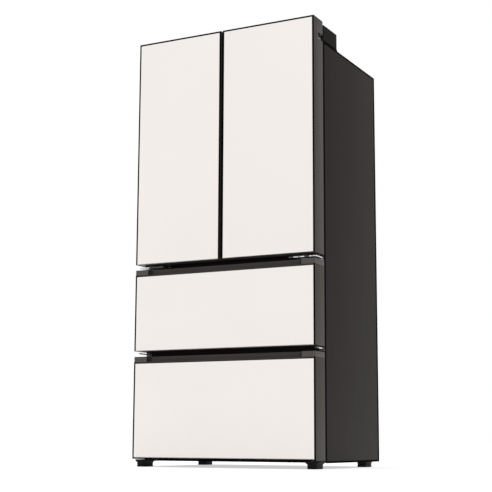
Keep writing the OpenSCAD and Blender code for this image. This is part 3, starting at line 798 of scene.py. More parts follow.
class FRIDGE_OT_panels(bpy.types.Operator):
    """Makes the painted face panels of the doors and drawers"""

    bl_idname = "fridge.panels"
    bl_label = "Face panels"

    def execute(self, context):
        for front in FRONTS:
            node = f"{front}_panel"
            piece = softened(node, edges().panel, mesh=lowered(node, front))
            paint_faces(piece, "rim_paint",
                        lambda centre, normal: normal.y > -0.98 and normal.z > -0.3)
        return {"FINISHED"}


class FRIDGE_OT_frames(bpy.types.Operator):
    """Makes the metal frames round the fronts, with a dark edge towards the room"""

    bl_idname = "fridge.frames"
    bl_label = "Frames"

    def execute(self, context):
        dark_depth, screw_inset = 1.5 * MM, 60 * MM
        for front in FRONTS:
            node = f"{front}_frame"
            dark_end = span(node, Y)[LOW] + dark_depth
            piece = softened(node, edges().trim, mesh=lowered(node, front))
            paint_faces(piece, "rim_paint", lambda centre, normal: centre.y < dark_end)
        for door in ("left_door", "right_door"):
            x, y, z = spans(f"{door}_frame")
            screws(f"{door}_cap_screws", door, [(across, middle(y), z[HIGH])
                                                for across in inset(x, screw_inset)],
                   "up", 3 * MM)
        return {"FINISHED"}


class FRIDGE_OT_grips(bpy.types.Operator):
    """Makes the finger grips over the drawer panels, with painted shade in their recesses and darker
    painted shade on the recess ends
    """

    bl_idname = "fridge.grips"
    bl_label = "Finger grips"

    def execute(self, context):
        end_block, lip, end_lip = 58 * MM, 0.6 * MM, 1.5 * MM
        recess_depth, end_height = 25 * MM, 24 * MM
        for front in ("middle_drawer", "bottom_drawer"):
            node = f"{front}_grip"
            x, y, z = spans(node)
            reach = inset(x, end_block)
            piece = softened(node, edges().trim)
            # Painted shade: the faces inside the recess get the grip moulding darkened to 0.7
            paint_faces(piece, "recess_plastic", lambda centre, normal: (
                reach[LOW] < centre.x < reach[HIGH] and centre.z < z[HIGH] - lip
                and y[LOW] + lip < centre.y < y[LOW] + recess_depth))
            # Painted shade: the curved end walls of the recess get the grip moulding darkened to 0.3
            paint_faces(piece, "grip_shade", lambda centre, normal: (
                abs(normal.x) > 0.3 and abs(centre.x) > 0.3 and z[HIGH] - end_height < centre.z
                and y[LOW] + end_lip < centre.y < y[LOW] + recess_depth
                and reach[LOW] < centre.x < reach[HIGH]))
        return {"FINISHED"}


class FRIDGE_OT_cabinet(bpy.types.Operator):
    """Makes the steel skin of the cabinet, with near black strips round its sides, partly painted
    shade, and pressed beads
    """

    bl_idname = "fridge.cabinet"
    bl_label = "Cabinet"

    def execute(self, context):
        for side in ("side_panel_left", "side_panel_right"):
            softened(side, edges().sheet)
            # Painted shade: a near black strip down the front edge of each side stands for the shade
            # in the gap behind the doors
            self.dark_edges_and_gap_shade(side, width=8 * MM, rear=14 * MM, proud=0.35 * MM)
        for node in ("roof_panel", "back_panel", "base_pan", "front_face"):
            softened(node, edges().sheet)
        x, y, z = spans("back_panel")
        bead_spacing = (x[HIGH] - x[LOW]) * 0.18
        bead = inset(z, 60 * MM)
        grown("back_beads", "cabinet", "cabinet_paint", "beads",
              [(middle(x) - 2 * bead_spacing, y[HIGH] - 1 * MM, bead[LOW])], smooth=True,
              Count=5, Spacing=(bead_spacing, 0, 0), Length=bead[HIGH] - bead[LOW],
              Stretch=(1, 0.3, 1), Radius=13 * MM)
        rows = [(across, y[HIGH], level) for across in spread(inset(x, 14 * MM), 7)
                for level in inset(z, 10 * MM)]
        columns = [(across, y[HIGH], level) for level in spread(z, 7)[1:-1]
                   for across in inset(x, 10 * MM)]
        screws("back_panel_screws", "cabinet", rows + columns, "back", material="black_enamel")
        return {"FINISHED"}

    def dark_edges_and_gap_shade(self, side, width, rear, proud):
        """Near black strips round the edge of a side panel, wider at the back; the front strip is
        painted shade in the gap behind the doors.
        """
        x, y, z = spans(side)
        outer = max(x, key=abs)
        x, between = (outer - proud, outer + proud), inset(z, width)
        boxes(f"{side}_hem", "cabinet", "rim_paint",
              [(x, y, (z[HIGH] - width, z[HIGH])), (x, y, (z[LOW], z[LOW] + width)),
               (x, (y[HIGH] - rear, y[HIGH]), between), (x, (y[LOW], y[LOW] + width), between)],
              0.2 * MM)


class FRIDGE_OT_liners(bpy.types.Operator):
    """Makes the vacuum formed liners, with the ribs that carry the shelves"""

    bl_idname = "fridge.liners"
    bl_label = "Liners"

    wall = 2 * MM
    cove_radius = 12 * MM

    def execute(self, context):
        for node in ("fridge_liner", "middle_liner", "freezer_liner"):
            softened(node, edges().sheet)
        x = span("fridge_liner", X)
        shelves = sorted({round(low.z, 4) for low, _ in solids("shelf_trim")})
        front, back = span("shelf_trim", Y)
        ribs = []
        for level in shelves:
            for side in (-1, 1):
                side_wall = side * (x[HIGH] - self.wall)
                ribs.append(((side_wall, side_wall - side * 5 * MM),
                             (front + 20 * MM, back - 10 * MM), (level - 9 * MM, level - 1 * MM)))
        boxes("shelf_ribs", "cabinet", "liner_plastic", ribs, 2 * MM)
        for node, backs in (("fridge_liner", (span("fridge_duct", Y)[LOW],) * 2),
                            ("middle_liner", (span("middle_liner", Y)[HIGH] - self.wall,) * 2),
                            ("freezer_liner", (self.step_front(), span("freezer_duct", Y)[LOW]))):
            self.coves(node, backs)
        return {"FINISHED"}

    def step_front(self):
        """Where the floor of the freezer ends, in front of the machine space."""
        data = frame["nodes"]["freezer_liner"].data
        floor = span("freezer_liner", Z)[LOW]
        return max(v.co.y for v in data.vertices if v.co.z < floor + 0.1 * MM) - self.wall

    def coves(self, node, backs):
        """Rounded inside corners, as forming leaves them, along the depth of a liner."""
        radius = self.cove_radius
        steps = 8
        x, z = (inset(span(node, axis), self.wall) for axis in (X, Z))
        for side in (LOW, HIGH):
            for end in (LOW, HIGH):
                out_x, out_z = (1 if side else -1), (1 if end else -1)
                arc = [(x[side] - out_x * radius * (1 - math.cos(angle)),
                        z[end] - out_z * radius * (1 - math.sin(angle)))
                       for angle in (math.pi / 2 * i / steps for i in range(steps + 1))]
                y = (span(node, Y)[LOW] + 1 * MM, backs[end] - 0.5 * MM)
                smoothed(cut_plate(f"{node}_cove_{2 * side + end}", "cabinet", "liner_plastic",
                                   [(x[side], z[end])] + arc, y), 20)


class FRIDGE_OT_hinges(bpy.types.Operator):
    """Makes the door hinges, their covers and the brackets between the drawers"""

    bl_idname = "fridge.hinges"
    bl_label = "Hinges"

    def execute(self, context):
        softened("top_hinges", edges().moulding)
        gap, flange, screw_depth = 0.5 * MM, 4 * MM, 3 * MM
        plate_top = span("left_door_frame", Z)[LOW] - gap
        flange_front = span("middle_hinges", Y)[HIGH] - flange
        paint_faces(softened("middle_hinges", edges().sheet), "black_enamel",
                    lambda centre, normal: centre.z > plate_top and centre.y < flange_front)
        paint_faces(softened("beam_brackets", edges().sheet), "black_enamel",
                    lambda centre, normal: normal.x < 0.5
                    and (centre.x > 0 or centre.y > flange_front))
        softened("hinge_covers", edges().moulding * 1.5)
        screw_y = span("front_face", Y)[LOW] - screw_depth
        tops, plates, brackets = [], [], []
        for low, high in solids("hinge_covers"):
            centre = (low + high) / 2
            tops += [(centre.x + dx * MM, centre.y + 34 * MM, high.z) for dx in (-45, 45)]
        for low, high in solids("middle_hinges"):
            outer, side = (high.x, 1) if high.x > 0 else (low.x, -1)
            plates += [(outer - side * dx * MM, screw_y, low.z + 3.6 * MM) for dx in (20, 55, 90)]
        for low, high in solids("beam_brackets"):
            brackets.append(((low.x + high.x) / 2, screw_y, low.z + 4 * MM))
        self.hinge_stops()
        screws("cover_screws", "cabinet", tops, "up")
        screws("hinge_screws", "cabinet", plates, "front", 2.8 * MM)
        screws("bracket_screws", "cabinet", brackets, "front", 3 * MM, "black_enamel")
        self.cover_seams()
        return {"FINISHED"}

    def hinge_stops(self):
        """Dark stops on the front edge of the middle plates, and sleeves on the brackets."""
        top = span("left_door_frame", Z)[LOW] - 0.3 * MM
        front = span("middle_hinges", Y)[LOW]
        outer = span("side_panel_right", X)[HIGH]
        # side of the cabinet, and where each stop starts and ends from its outside in mm
        places = ((1, 35, 56), (1, 77.5, 82), (1, 104, 124), (-1, 53, 124))
        stops = [((side * (outer - near * MM), side * (outer - far * MM)),
                  (front - 1 * MM, front + 5 * MM), (top - 6 * MM, top))
                 for side, near, far in places]
        boxes("hinge_stops", "cabinet", "black_enamel", stops, 0.6 * MM)
        low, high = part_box("beam_brackets")
        sleeves = [((high.x - 9 * MM, high.x + 0.8 * MM), y, (low.z + 8.5 * MM, low.z + 15 * MM))
                   for y in ((low.y - 0.8 * MM, low.y + 18 * MM),
                             (high.y - 22 * MM, high.y - 2 * MM))]
        boxes("bracket_sleeves", "cabinet", "black_enamel", sleeves, 0.6 * MM)

    def cover_seams(self):
        """A dark parting line where each hinge cover sits on the roof."""
        proud = 0.3 * MM
        seams = [((low.x - proud, high.x + proud), (low.y + 3 * MM, high.y + proud),
                  (low.z, low.z + 6 * MM)) for low, high in solids("hinge_covers")]
        boxes("cover_seams", "cabinet", "rim_paint", seams, 0.2 * MM)


class FRIDGE_OT_feet(bpy.types.Operator):
    """Makes the levelling feet with their turning rings"""

    bl_idname = "fridge.feet"
    bl_label = "Feet"

    def execute(self, context):
        width, half_length, arm_rise = 57 * MM, 44 * MM, 7 * MM
        base = span("base_pan", Z)[LOW]
        outer = span("side_panel_right", X)[HIGH]
        front = span("right_door_panel", Y)[LOW] + 56 * MM
        rear = span("side_panel_right", Y)[HIGH] - 100 * MM
        replaced = ["levelling_feet"]
        for side, label in ((-1, "left"), (1, "right")):
            x = sorted((side * (outer - 0.2 * MM), side * (outer - width)))
            for name, y in (("front", front), ("rear", rear)):
                self.foot(f"{name}_foot_{label}", x, inset((y, y), -half_length), base, replaced)
                replaced = []
        centre = outer - width / 2
        arms = [((side * centre - 20 * MM, side * centre + 20 * MM),
                 (front + 40 * MM, front + 132 * MM), (base - arm_rise, base))
                for side in (-1, 1)]
        boxes("foot_arms", "cabinet", "foot_plastic", arms, 1 * MM)
        face = span("front_face", Y)[LOW]
        boxes("kick_strip", "cabinet", "rim_paint",
              [(inset(span("levelling_feet", X), 62 * MM), (face + 4 * MM, face + 7 * MM),
                (base - 6.5 * MM, base))], 0.6 * MM)
        return {"FINISHED"}

    def foot(self, name, x, y, top, replaced):
        """A pad with a turning groove, under a bracket that widens to the frame."""
        pad = 8 * MM
        profile = [(pad + 2.5 * MM, 0), (pad + 0.6 * MM, 0.8 * MM), (pad, 2.4 * MM),
                   (pad, 8 * MM), (pad + 1.4 * MM, 8.6 * MM), (pad + 1.4 * MM, 9.8 * MM),
                   (pad, 10.4 * MM), (pad, 17 * MM), (pad - 1 * MM, 18.5 * MM),
                   (1.2 * MM, top - 7 * MM), (0, top - 5.5 * MM), (0, top)]
        shell(name, "cabinet", "foot_plastic", "floor", x, y, profile, *replaced,
              corner=17 * MM)


class FRIDGE_OT_machine_space(bpy.types.Operator):
    """Makes the machine space: cover, compressor, condenser, fan and drain pan"""

    bl_idname = "fridge.machine_space"
    bl_label = "Machine space"

    def execute(self, context):
        softened("machine_cover", edges().sheet)
        self.louvres()
        self.compressor()
        self.condenser()
        fan("condenser_fan", (1, 0, 0), 7)
        x, y, z = spans("drain_pan")
        tub("drain_pan_finished", "cabinet", "cover_plastic", x, y, z, "drain_pan",
            wall=2 * MM, corner=12 * MM)
        return {"FINISHED"}

    def louvres(self):
        """Hoods over the slots of the machine cover, and the screws round it."""
        x, _, z = spans("machine_cover")
        plate = span("back_panel", Y)[HIGH]
        hood, from_middle = (214 * MM, 2 * MM, 4 * MM), 190 * MM
        points = [(side * from_middle, plate + 0.5 * MM, z[LOW] + 47.5 * MM) for side in (-1, 1)]
        grown("louvre_hoods", "cabinet", "cover_plastic", "row", points, Count=10,
              Spacing=(0, 0, 15 * MM), Size=hood, Turn=(math.radians(-28), 0, 0))
        rows = [(across, plate, level) for across in spread(inset(x, 12 * MM), 6)
                for level in inset(z, 9 * MM)]
        screws("machine_cover_screws", "cabinet", rows, "back", material="black_enamel")

    def compressor(self):
        """A drawn steel shell with its weld seam, feet, terminal box and pipe stubs."""
        low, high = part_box("compressor")
        x, y, _ = (low + high) / 2
        floor, top = low.z, high.z
        base = floor + 12 * MM
        radius = (high.y - low.y) / 2 - 4 * MM
        seam = base + (top - base) * 0.45
        profile = [(radius * 0.5, base), (radius * 0.8, base + 3 * MM),
                   (radius * 0.93, base + 14 * MM), (radius * 0.97, base + 26 * MM),
                   (radius * 0.97, seam - 4 * MM), (radius, seam - 3 * MM), (radius, seam + 3 * MM),
                   (radius * 0.95, seam + 4 * MM), (radius * 0.95, top - 34 * MM),
                   (radius * 0.88, top - 17 * MM), (radius * 0.7, top - 6 * MM),
                   (radius * 0.4, top - 1 * MM), (0.5 * MM, top)]
        lathe("compressor_shell", "cabinet", "black_enamel", (x, y, 0), (0, 0, 1), profile,
              "compressor")
        out = radius * 0.72
        feet = [(x + dx * out, y + dy * out, floor) for dx in (-1, 1) for dy in (-1, 1)]
        for i, place in enumerate(feet):
            lathe(f"compressor_mount_{i}", "cabinet", "gasket_rubber", place,
                  (0, 0, 1), [(9 * MM, 0), (11 * MM, 2 * MM), (11 * MM, 6 * MM), (7 * MM, 9 * MM),
                              (11 * MM, 12 * MM), (10 * MM, 18 * MM)], steps=24)
        boxes("terminal_box", "cabinet", "cover_plastic",
              [((x + radius - 4 * MM, x + radius + 20 * MM), (y - 26 * MM, y + 26 * MM),
                (seam - 30 * MM, seam + 34 * MM))], 2 * MM)
        stub = [[(x - 20 * MM, y - 30 * MM, top - 4 * MM), (x - 20 * MM, y - 30 * MM, top + 14 * MM),
                 (x - 12 * MM, y - 26 * MM, top + 22 * MM), (x + 20 * MM, y - 14 * MM, top + 24 * MM),
                 (x + radius + 34 * MM, y - 10 * MM, top + 24 * MM)]]
        tube("compressor_pipe", "cabinet", "zinc_steel", stub, 3 * MM)

    def condenser(self):
        """Black tubes that run back and forth, with wires across them."""
        radius, pitch, wire, wire_count = 3 * MM, 24 * MM, 1.4 * MM, 32
        paths, starts = [], []
        across, _, tall = spans("condenser_coil")
        across = inset(across, 20 * MM)
        for x, y, z in (runs(*coil) for coil in solids("condenser_coil")):
            passes = round((z[HIGH] - z[LOW] - 2 * radius) / pitch) + 1
            levels = [z[LOW] + radius + i * pitch for i in range(passes)]
            paths.append(serpentine(inset(x, pitch / 2 + radius), middle(y), levels, pitch / 2))
            starts += [(across[LOW], middle(y) + side * 3.6 * MM, middle(z)) for side in (-1, 1)]
        tube("condenser_tubes", "cabinet", "black_enamel", paths, radius, "condenser_coil")
        grown("condenser_wires", "cabinet", "black_enamel", "row", starts, Count=wire_count,
              Spacing=(step_of(across, wire_count), 0, 0),
              Size=(wire, wire, tall[HIGH] - tall[LOW] - 2 * MM))


def fan(node, axis, blades):
    """An axial fan with twisted blades round a domed hub."""
    low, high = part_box(node)
    centre = (low + high) / 2
    turn = Vector((0, 0, 1)).rotation_difference(Vector(axis))
    across = [i for i in range(3) if abs(axis[i]) < 0.5]
    radius = min((high - low)[i] for i in across) / 2
    depth = (high - low)[[i for i in range(3) if abs(axis[i]) > 0.5][0]]
    hub, tip, half_blade, steepest, untwist = radius * 0.28, radius * 0.98, 0.9 * MM, 48, 22
    mesh = bmesh.new()
    along, around = 8, 6
    for blade in range(blades):
        start = 2 * math.pi * blade / blades
        sheets = []
        for side in (-1, 1):
            grid = []
            for i in range(along + 1):
                out = hub * 0.9 + (tip - hub * 0.9) * i / along
                twist = math.radians(steepest - untwist * i / along)
                sweep = 0.25 * (i / along) ** 2
                chord = math.radians(30 + 10 * math.sin(math.pi * i / along))
                row = []
                for j in range(around + 1):
                    share = j / around - 0.5
                    angle = start + sweep + chord * share
                    lift = -math.tan(twist) * share * chord * out * 0.6
                    lift = max(-depth * 0.46, min(depth * 0.46, lift))
                    lift += side * half_blade * (1 - (2 * share) ** 4 * 0.7)
                    point = Vector((out * math.cos(angle), out * math.sin(angle), lift))
                    row.append(mesh.verts.new(centre + turn @ point))
                grid.append(row)
            sheets.append(grid)
        for grid in sheets:
            for i in range(along):
                for j in range(around):
                    mesh.faces.new((grid[i][j], grid[i][j + 1], grid[i + 1][j + 1],
                                    grid[i + 1][j]))
        back, front = sheets
        edge = ([(0, j) for j in range(around)] + [(i, around) for i in range(along)]
                + [(along, j) for j in range(around, 0, -1)] + [(i, 0) for i in range(along, 0, -1)])
        for (i, j), (m, n) in zip(edge, edge[1:] + edge[:1]):
            mesh.faces.new((back[i][j], back[m][n], front[m][n], front[i][j]))
    bmesh.ops.recalc_face_normals(mesh, faces=mesh.faces)
    smoothed(keep(mesh, f"{node}_blades", BODY_OF[node], SLOT_OF[node], node), 50)
    half = depth / 2
    lathe(f"{node}_hub", BODY_OF[node], SLOT_OF[node], centre, axis,
          [(hub, -half), (hub, half * 0.5), (hub * 0.85, half * 0.85), (hub * 0.4, half),
           (0.4 * MM, half)], steps=32)


class FRIDGE_OT_cooling(bpy.types.Operator):
    """Makes the air ducts, the finned evaporator and its fan"""

    bl_idname = "fridge.cooling"
    bl_label = "Cooling"

    def execute(self, context):
        softened("fridge_duct", edges().moulding * 1.5)
        softened("freezer_duct", edges().sheet)
        x, y, z = spans("evaporator_coil")
        levels = [z[LOW] + 12 * MM + i * 26 * MM for i in range(4)]
        paths = [serpentine(x, depth, levels) for depth in inset(y, 9 * MM)]
        tube("evaporator_tubes", "cabinet", "coil_aluminium", paths, 4 * MM, "evaporator_coil")
        bars("evaporator_fins", "cabinet", "coil_aluminium", inset(x, 6 * MM), middle(y),
             middle(z), 84, (0.5 * MM, y[HIGH] - y[LOW], z[HIGH] - z[LOW]))
        fan("evaporator_fan", (0, 1, 0), 5)
        self.vents()
        return {"FINISHED"}

    def vents(self):
        """Louvres across the outlets of the tall duct."""
        _, y, z = spans("fridge_duct")
        first = z[LOW] - 6 * MM
        step = (z[HIGH] + 4 * MM - first) / 4
        points = [(across, y[LOW] + 3 * MM, first + i * step + step * 0.72 + 3 * MM)
                  for i in range(4) for across in (-0.12, 0.12)]
        grown("duct_louvres", "cabinet", "liner_plastic", "row", points, Count=2,
              Spacing=(0, 0, 6 * MM), Size=(80 * MM, 5 * MM, 1.2 * MM),
              Turn=(math.radians(25), 0, 0))
        boxes("duct_face", "cabinet", "trim_plastic",
              [((-60 * MM, 60 * MM), (y[LOW] - 1.2 * MM, y[LOW] + 1 * MM),
                (z[LOW] + 20 * MM, z[HIGH] - 30 * MM))], 0.8 * MM)


class FRIDGE_OT_shelves(bpy.types.Operator):
    """Makes the glass shelves, their trims, the tracks and the ceiling light"""

    bl_idname = "fridge.shelves"
    bl_label = "Shelves"

    def execute(self, context):
        softened("shelf_glass", edges().sheet)
        softened("shelf_trim", edges().moulding * 1.5)
        softened("shelf_tracks", edges().sheet * 0.6)
        x, y, z = spans("ceiling_light")
        profile = [(0, z[HIGH]), (0, z[LOW] + 2 * MM), (0.8 * MM, z[LOW] + 0.7 * MM),
                   (2.5 * MM, z[LOW])]
        shell("light_cover", "cabinet", "light_lens", "floor", x, y, profile, "ceiling_light",
              corner=9 * MM)
        bars("light_ribs", "cabinet", "light_lens", inset(x, 14 * MM), middle(y), z[LOW], 30,
             (2 * MM, y[HIGH] - y[LOW] - 10 * MM, 1.2 * MM))
        return {"FINISHED"}


class FRIDGE_OT_crispers(bpy.types.Operator):
    """Makes the two clear crisper drawers with their pulls"""

    bl_idname = "fridge.crispers"
    bl_label = "Crispers"

    def execute(self, context):
        pull = 12 * MM
        for node in ("crisper_left", "crisper_right"):
            body = BODY_OF[node]
            x, y, z = spans(node)
            front = y[LOW] + pull
            tub(f"{node}_tub", body, "clear_plastic", x, (front, y[HIGH]), z, node,
                corner=14 * MM, draft=3 * MM)
            grip = (inset(x, 30 * MM), (z[HIGH] - 22 * MM, z[HIGH] - 4 * MM))
            profile = [(0, front + 2 * MM), (0, y[LOW] + 3 * MM), (1 * MM, y[LOW] + 1 * MM),
                       (3 * MM, y[LOW])]
            shell(f"{node}_pull", body, "trim_plastic", "face", grip[0], grip[1], profile,
                  corner=6 * MM)
            floor_ribs(f"{node}_ribs", body, x, (front, y[HIGH]), z[LOW])
        return {"FINISHED"}


def floor_ribs(name, body, x, y, floor, material="clear_plastic", wall=2.5 * MM):
    """Low ribs across the floor of a tub."""
    pitch = 26 * MM
    count = max(4, int((x[HIGH] - x[LOW]) / pitch))
    margin = 30 * MM
    bars(name, body, material, inset(x, margin), middle(y), floor + wall + 0.6 * MM, count,
         (3 * MM, y[HIGH] - y[LOW] - 1.4 * margin, 1.6 * MM))


class FRIDGE_OT_slides(bpy.types.Operator):
    """Makes the drawer slides with their rolled edges"""

    bl_idname = "fridge.slides"
    bl_label = "Slides"

    def execute(self, context):
        for node in ("slide_rails", "middle_slides", "bottom_slides"):
            shapes = [self.rail(low, high) for low, high in solids(node)]
            smoothed(solid(f"{node}_finished", BODY_OF[node], "zinc_steel", shapes, node), 30)
        return {"FINISHED"}

    def rail(self, low, high):
        """One channel, open towards the middle of the cabinet, with rolled lips."""
        inwards = -1 if low.x > 0 else 1
        outer = high.x if inwards < 0 else low.x
        depth = high.x - low.x
        web = 1.4 * MM
        lip = 5 * MM
        points = [(0, low.z + 1 * MM), (0.6 * MM, low.z), (depth - 0.6 * MM, low.z),
                  (depth, low.z + 1 * MM), (depth, low.z + lip), (depth - 1.2 * MM, low.z + lip),
                  (web, low.z + lip + 1 * MM), (web, high.z - lip - 1 * MM),
                  (depth - 1.2 * MM, high.z - lip), (depth, high.z - lip),
                  (depth, high.z - 1 * MM), (depth - 0.6 * MM, high.z), (0.6 * MM, high.z),
                  (0, high.z - 1 * MM)]
        return [[(outer + inwards * a, y, z) for a, z in points] for y in (low.y, high.y)]


class FRIDGE_OT_gaskets(bpy.types.Operator):
    """Makes the bellows seals on the backs of the doors and drawers"""

    bl_idname = "fridge.gaskets"
    bl_label = "Gaskets"

    def execute(self, context):
        for front in FRONTS:
            node = f"{front}_gasket"
            x, y, z = spans(node)
            if front == "right_door":
                x = (span("right_door_frame", X)[LOW] + 10 * MM, x[HIGH])
            wide = 12 * MM
            near, far = y
            deep = far - near
            profile = [(0.2, 0), (0.05, 0.16), (0.16, 0.34), (0.0, 0.52), (0.1, 0.72),
                       (0.02, 0.84), (0.06, 0.97), (0.12, 1.0), (0.88, 1.0), (0.94, 0.97),
                       (0.98, 0.84), (0.9, 0.72), (1.0, 0.52), (0.84, 0.34), (0.95, 0.16),
                       (0.8, 0)]
            points = [(a * wide, near + b * deep) for a, b in profile]
            shell(f"{node}_finished", front, "gasket_rubber", "face", x, z, points, node,
                  ring=True)
            if front == "right_door":
                boxes("right_door_gasket_lip", front, "gasket_rubber",
                      [((span(node, X)[LOW], x[LOW] + 3 * MM), (near, near + 3 * MM), z)],
                      1 * MM)
        return {"FINISHED"}


class FRIDGE_OT_door_inners(bpy.types.Operator):
    """Makes the inner panels of the doors, with their raised rims, and the flip mullion"""

    bl_idname = "fridge.door_inners"
    bl_label = "Door inners"

    def execute(self, context):
        for door in ("left_door", "right_door"):
            self.inner_panel(door)
            paint(f"{door}_insulation")
        self.mullion_ears()
        softened("flip_mullion", edges().moulding)
        return {"FINISHED"}

    def inner_panel(self, door):
        """A flat panel with a notch for the upper hinge, a raised rim and a cap over the top."""
        outer, inner = (HIGH, LOW) if door == "right_door" else (LOW, HIGH)
        towards = -1 if outer else 1
        x = inset(span(f"{door}_frame", X), 6 * MM)
        z = span(f"{door}_insulation", Z)
        back = span(f"{door}_frame", Y)[HIGH]
        roof = span("top_hinges", Z)[LOW]
        notch = (roof - 4 * MM, roof + 24 * MM)
        deep = x[outer] + towards * 38 * MM
        cut_plate(f"{door}_inner_panel", door, "liner_plastic",
                  [(x[outer], z[LOW]), (x[outer], notch[LOW]), (deep, notch[LOW]),
                   (deep, notch[HIGH]), (x[outer], notch[HIGH]), (x[outer], z[HIGH]),
                   (x[inner], z[HIGH]), (x[inner], z[LOW])],
                  (back - 2 * MM, back), f"{door}_liner")
        deep += towards * 2 * MM
        cut_plate(f"{door}_back_cap", door, "frame_paint",
                  [(deep, roof + 2 * MM), (deep, notch[HIGH] + 1 * MM),
                   (x[outer], notch[HIGH] + 1 * MM), (x[outer], z[HIGH]), (x[inner], z[HIGH]),
                   (x[inner], roof + 2 * MM)], (back - 0.2 * MM, back + 0.8 * MM))
        rim_x = inset(span(f"{door}_bins", X), -20 * MM)
        rim_z = inset(span("fridge_liner", Z), 10 * MM)
        top = span("right_door_liner", Y)[HIGH]
        profile = [(0, back - 0.5 * MM), (1 * MM, top - 7 * MM), (1.8 * MM, top - 3 * MM),
                   (3.6 * MM, top - 0.8 * MM), (6.5 * MM, top), (13.5 * MM, top),
                   (16.4 * MM, top - 0.8 * MM), (18.2 * MM, top - 3 * MM), (19 * MM, top - 7 * MM),
                   (20 * MM, back - 0.5 * MM)]
        shell(f"{door}_inner_rim", door, "liner_plastic", "face", rim_x, rim_z, profile,
              ring=True, corner=30 * MM)

    def mullion_ears(self):
        """Ears on the left door, with the pins that the mullion turns on."""
        axis_x = span("flip_mullion", X)[LOW] + 4 * MM
        axis_y = span("flip_mullion", Y)[HIGH] - 4 * MM
        low, high = span("flip_mullion", Z)
        start = span("left_door_bins", X)[HIGH] + 18 * MM
        boxes("mullion_ears", "left_door", "liner_plastic",
              [((start, axis_x + 4 * MM), (axis_y - 4 * MM, axis_y + 4 * MM),
                (base, base + 4.5 * MM)) for base in (low - 5 * MM, high + 0.5 * MM)], 1 * MM)
        tube("mullion_pins", "left_door", "zinc_steel",
             [[(axis_x, axis_y, a), (axis_x, axis_y, b)]
              for a, b in ((low - 5 * MM, low + 8 * MM), (high - 8 * MM, high + 5 * MM))], 2 * MM)


def paint(node):
    """Gives a CAD node that keeps its own shape the finish of its slot."""
    data = frame["nodes"][node].data
    data.materials.clear()
    data.materials.append(finish(SLOT_OF[node]))


class FRIDGE_OT_door_bins(bpy.types.Operator):
    """Makes the door bins, the dairy compartment and its lid"""

    bl_idname = "fridge.door_bins"
    bl_label = "Door bins"

    def execute(self, context):
        for door in ("left_door", "right_door"):
            node = f"{door}_bins"
            for i, (low, high) in enumerate(solids(node)):
                x, y, z = runs(low, high)
                name = f"{door}_bin_{i + 1}"
                tub(name, door, "clear_plastic", x, y, z, *([node] if i == 0 else []),
                    corner=12 * MM)
                floor_ribs(f"{name}_ribs", door, x, y, z[LOW])
                band = (inset(x, 14 * MM), (y[HIGH] - 1.2 * MM, y[HIGH] + 0.8 * MM),
                        (z[HIGH] - 26 * MM, z[HIGH] - 9 * MM))
                boxes(f"{name}_band", door, "trim_plastic", [band], 0.7 * MM)
        softened("dairy_lid", edges().moulding * 0.8)
        return {"FINISHED"}


class FRIDGE_OT_drawers(bpy.types.Operator):
    """Makes the inner panels, boxes, basket and tray of the drawers"""

    bl_idname = "fridge.drawers"
    bl_label = "Drawers"

    def execute(self, context):
        slide = 4 * MM
        for front in ("middle_drawer", "bottom_drawer"):
            softened(f"{front}_inner", edges().moulding * 1.5)
        for node, material in (("middle_drawer_box", "clear_plastic"),
                               ("freezer_basket", "liner_plastic")):
            body = BODY_OF[node]
            x, y, z = spans(node)
            tub(f"{node}_tub", body, material, inset(x, slide), y, z, node, wall=3 * MM,
                corner=22 * MM, draft=1.2 * MM, lip=1 * MM)
            floor_ribs(f"{node}_ribs", body, inset(x, slide), y, z[LOW], material, 3 * MM)
            self.runners(node, body, x, slide)
        x, y, z = spans("freezer_tray")
        tub("freezer_tray_tub", "tray", "clear_plastic", x, y, z, "freezer_tray",
            corner=14 * MM)
        floor_ribs("freezer_tray_ribs", "tray", x, y, z[LOW])
        return {"FINISHED"}

    def runners(self, node, body, x, slide):
        """The rails on the sides of a drawer box that ride in the slides."""
        y, z = span(node, Y), span(node, Z)
        bars = []
        for low, high in solids("slide_rails"):
            if z[LOW] - 1 * MM < low.z < z[HIGH]:
                outer, inwards = (x[LOW], 1) if low.x < 0 else (x[HIGH], -1)
                bars.append(((outer, outer + inwards * (slide + 1.5 * MM)),
                             (y[LOW], min(y[HIGH], high.y)),
                             (low.z + 4 * MM, min(high.z - 4 * MM, z[HIGH]))))
        boxes(f"{node}_runners", body, "zinc_steel", bars, 0.6 * MM)


class FRIDGE_OT_foam(bpy.types.Operator):
    """Gives the rigid foam inside the cabinet its finish"""

    bl_idname = "fridge.foam"
    bl_label = "Foam"

    def execute(self, context):
        paint("cabinet_insulation")
        return {"FINISHED"}


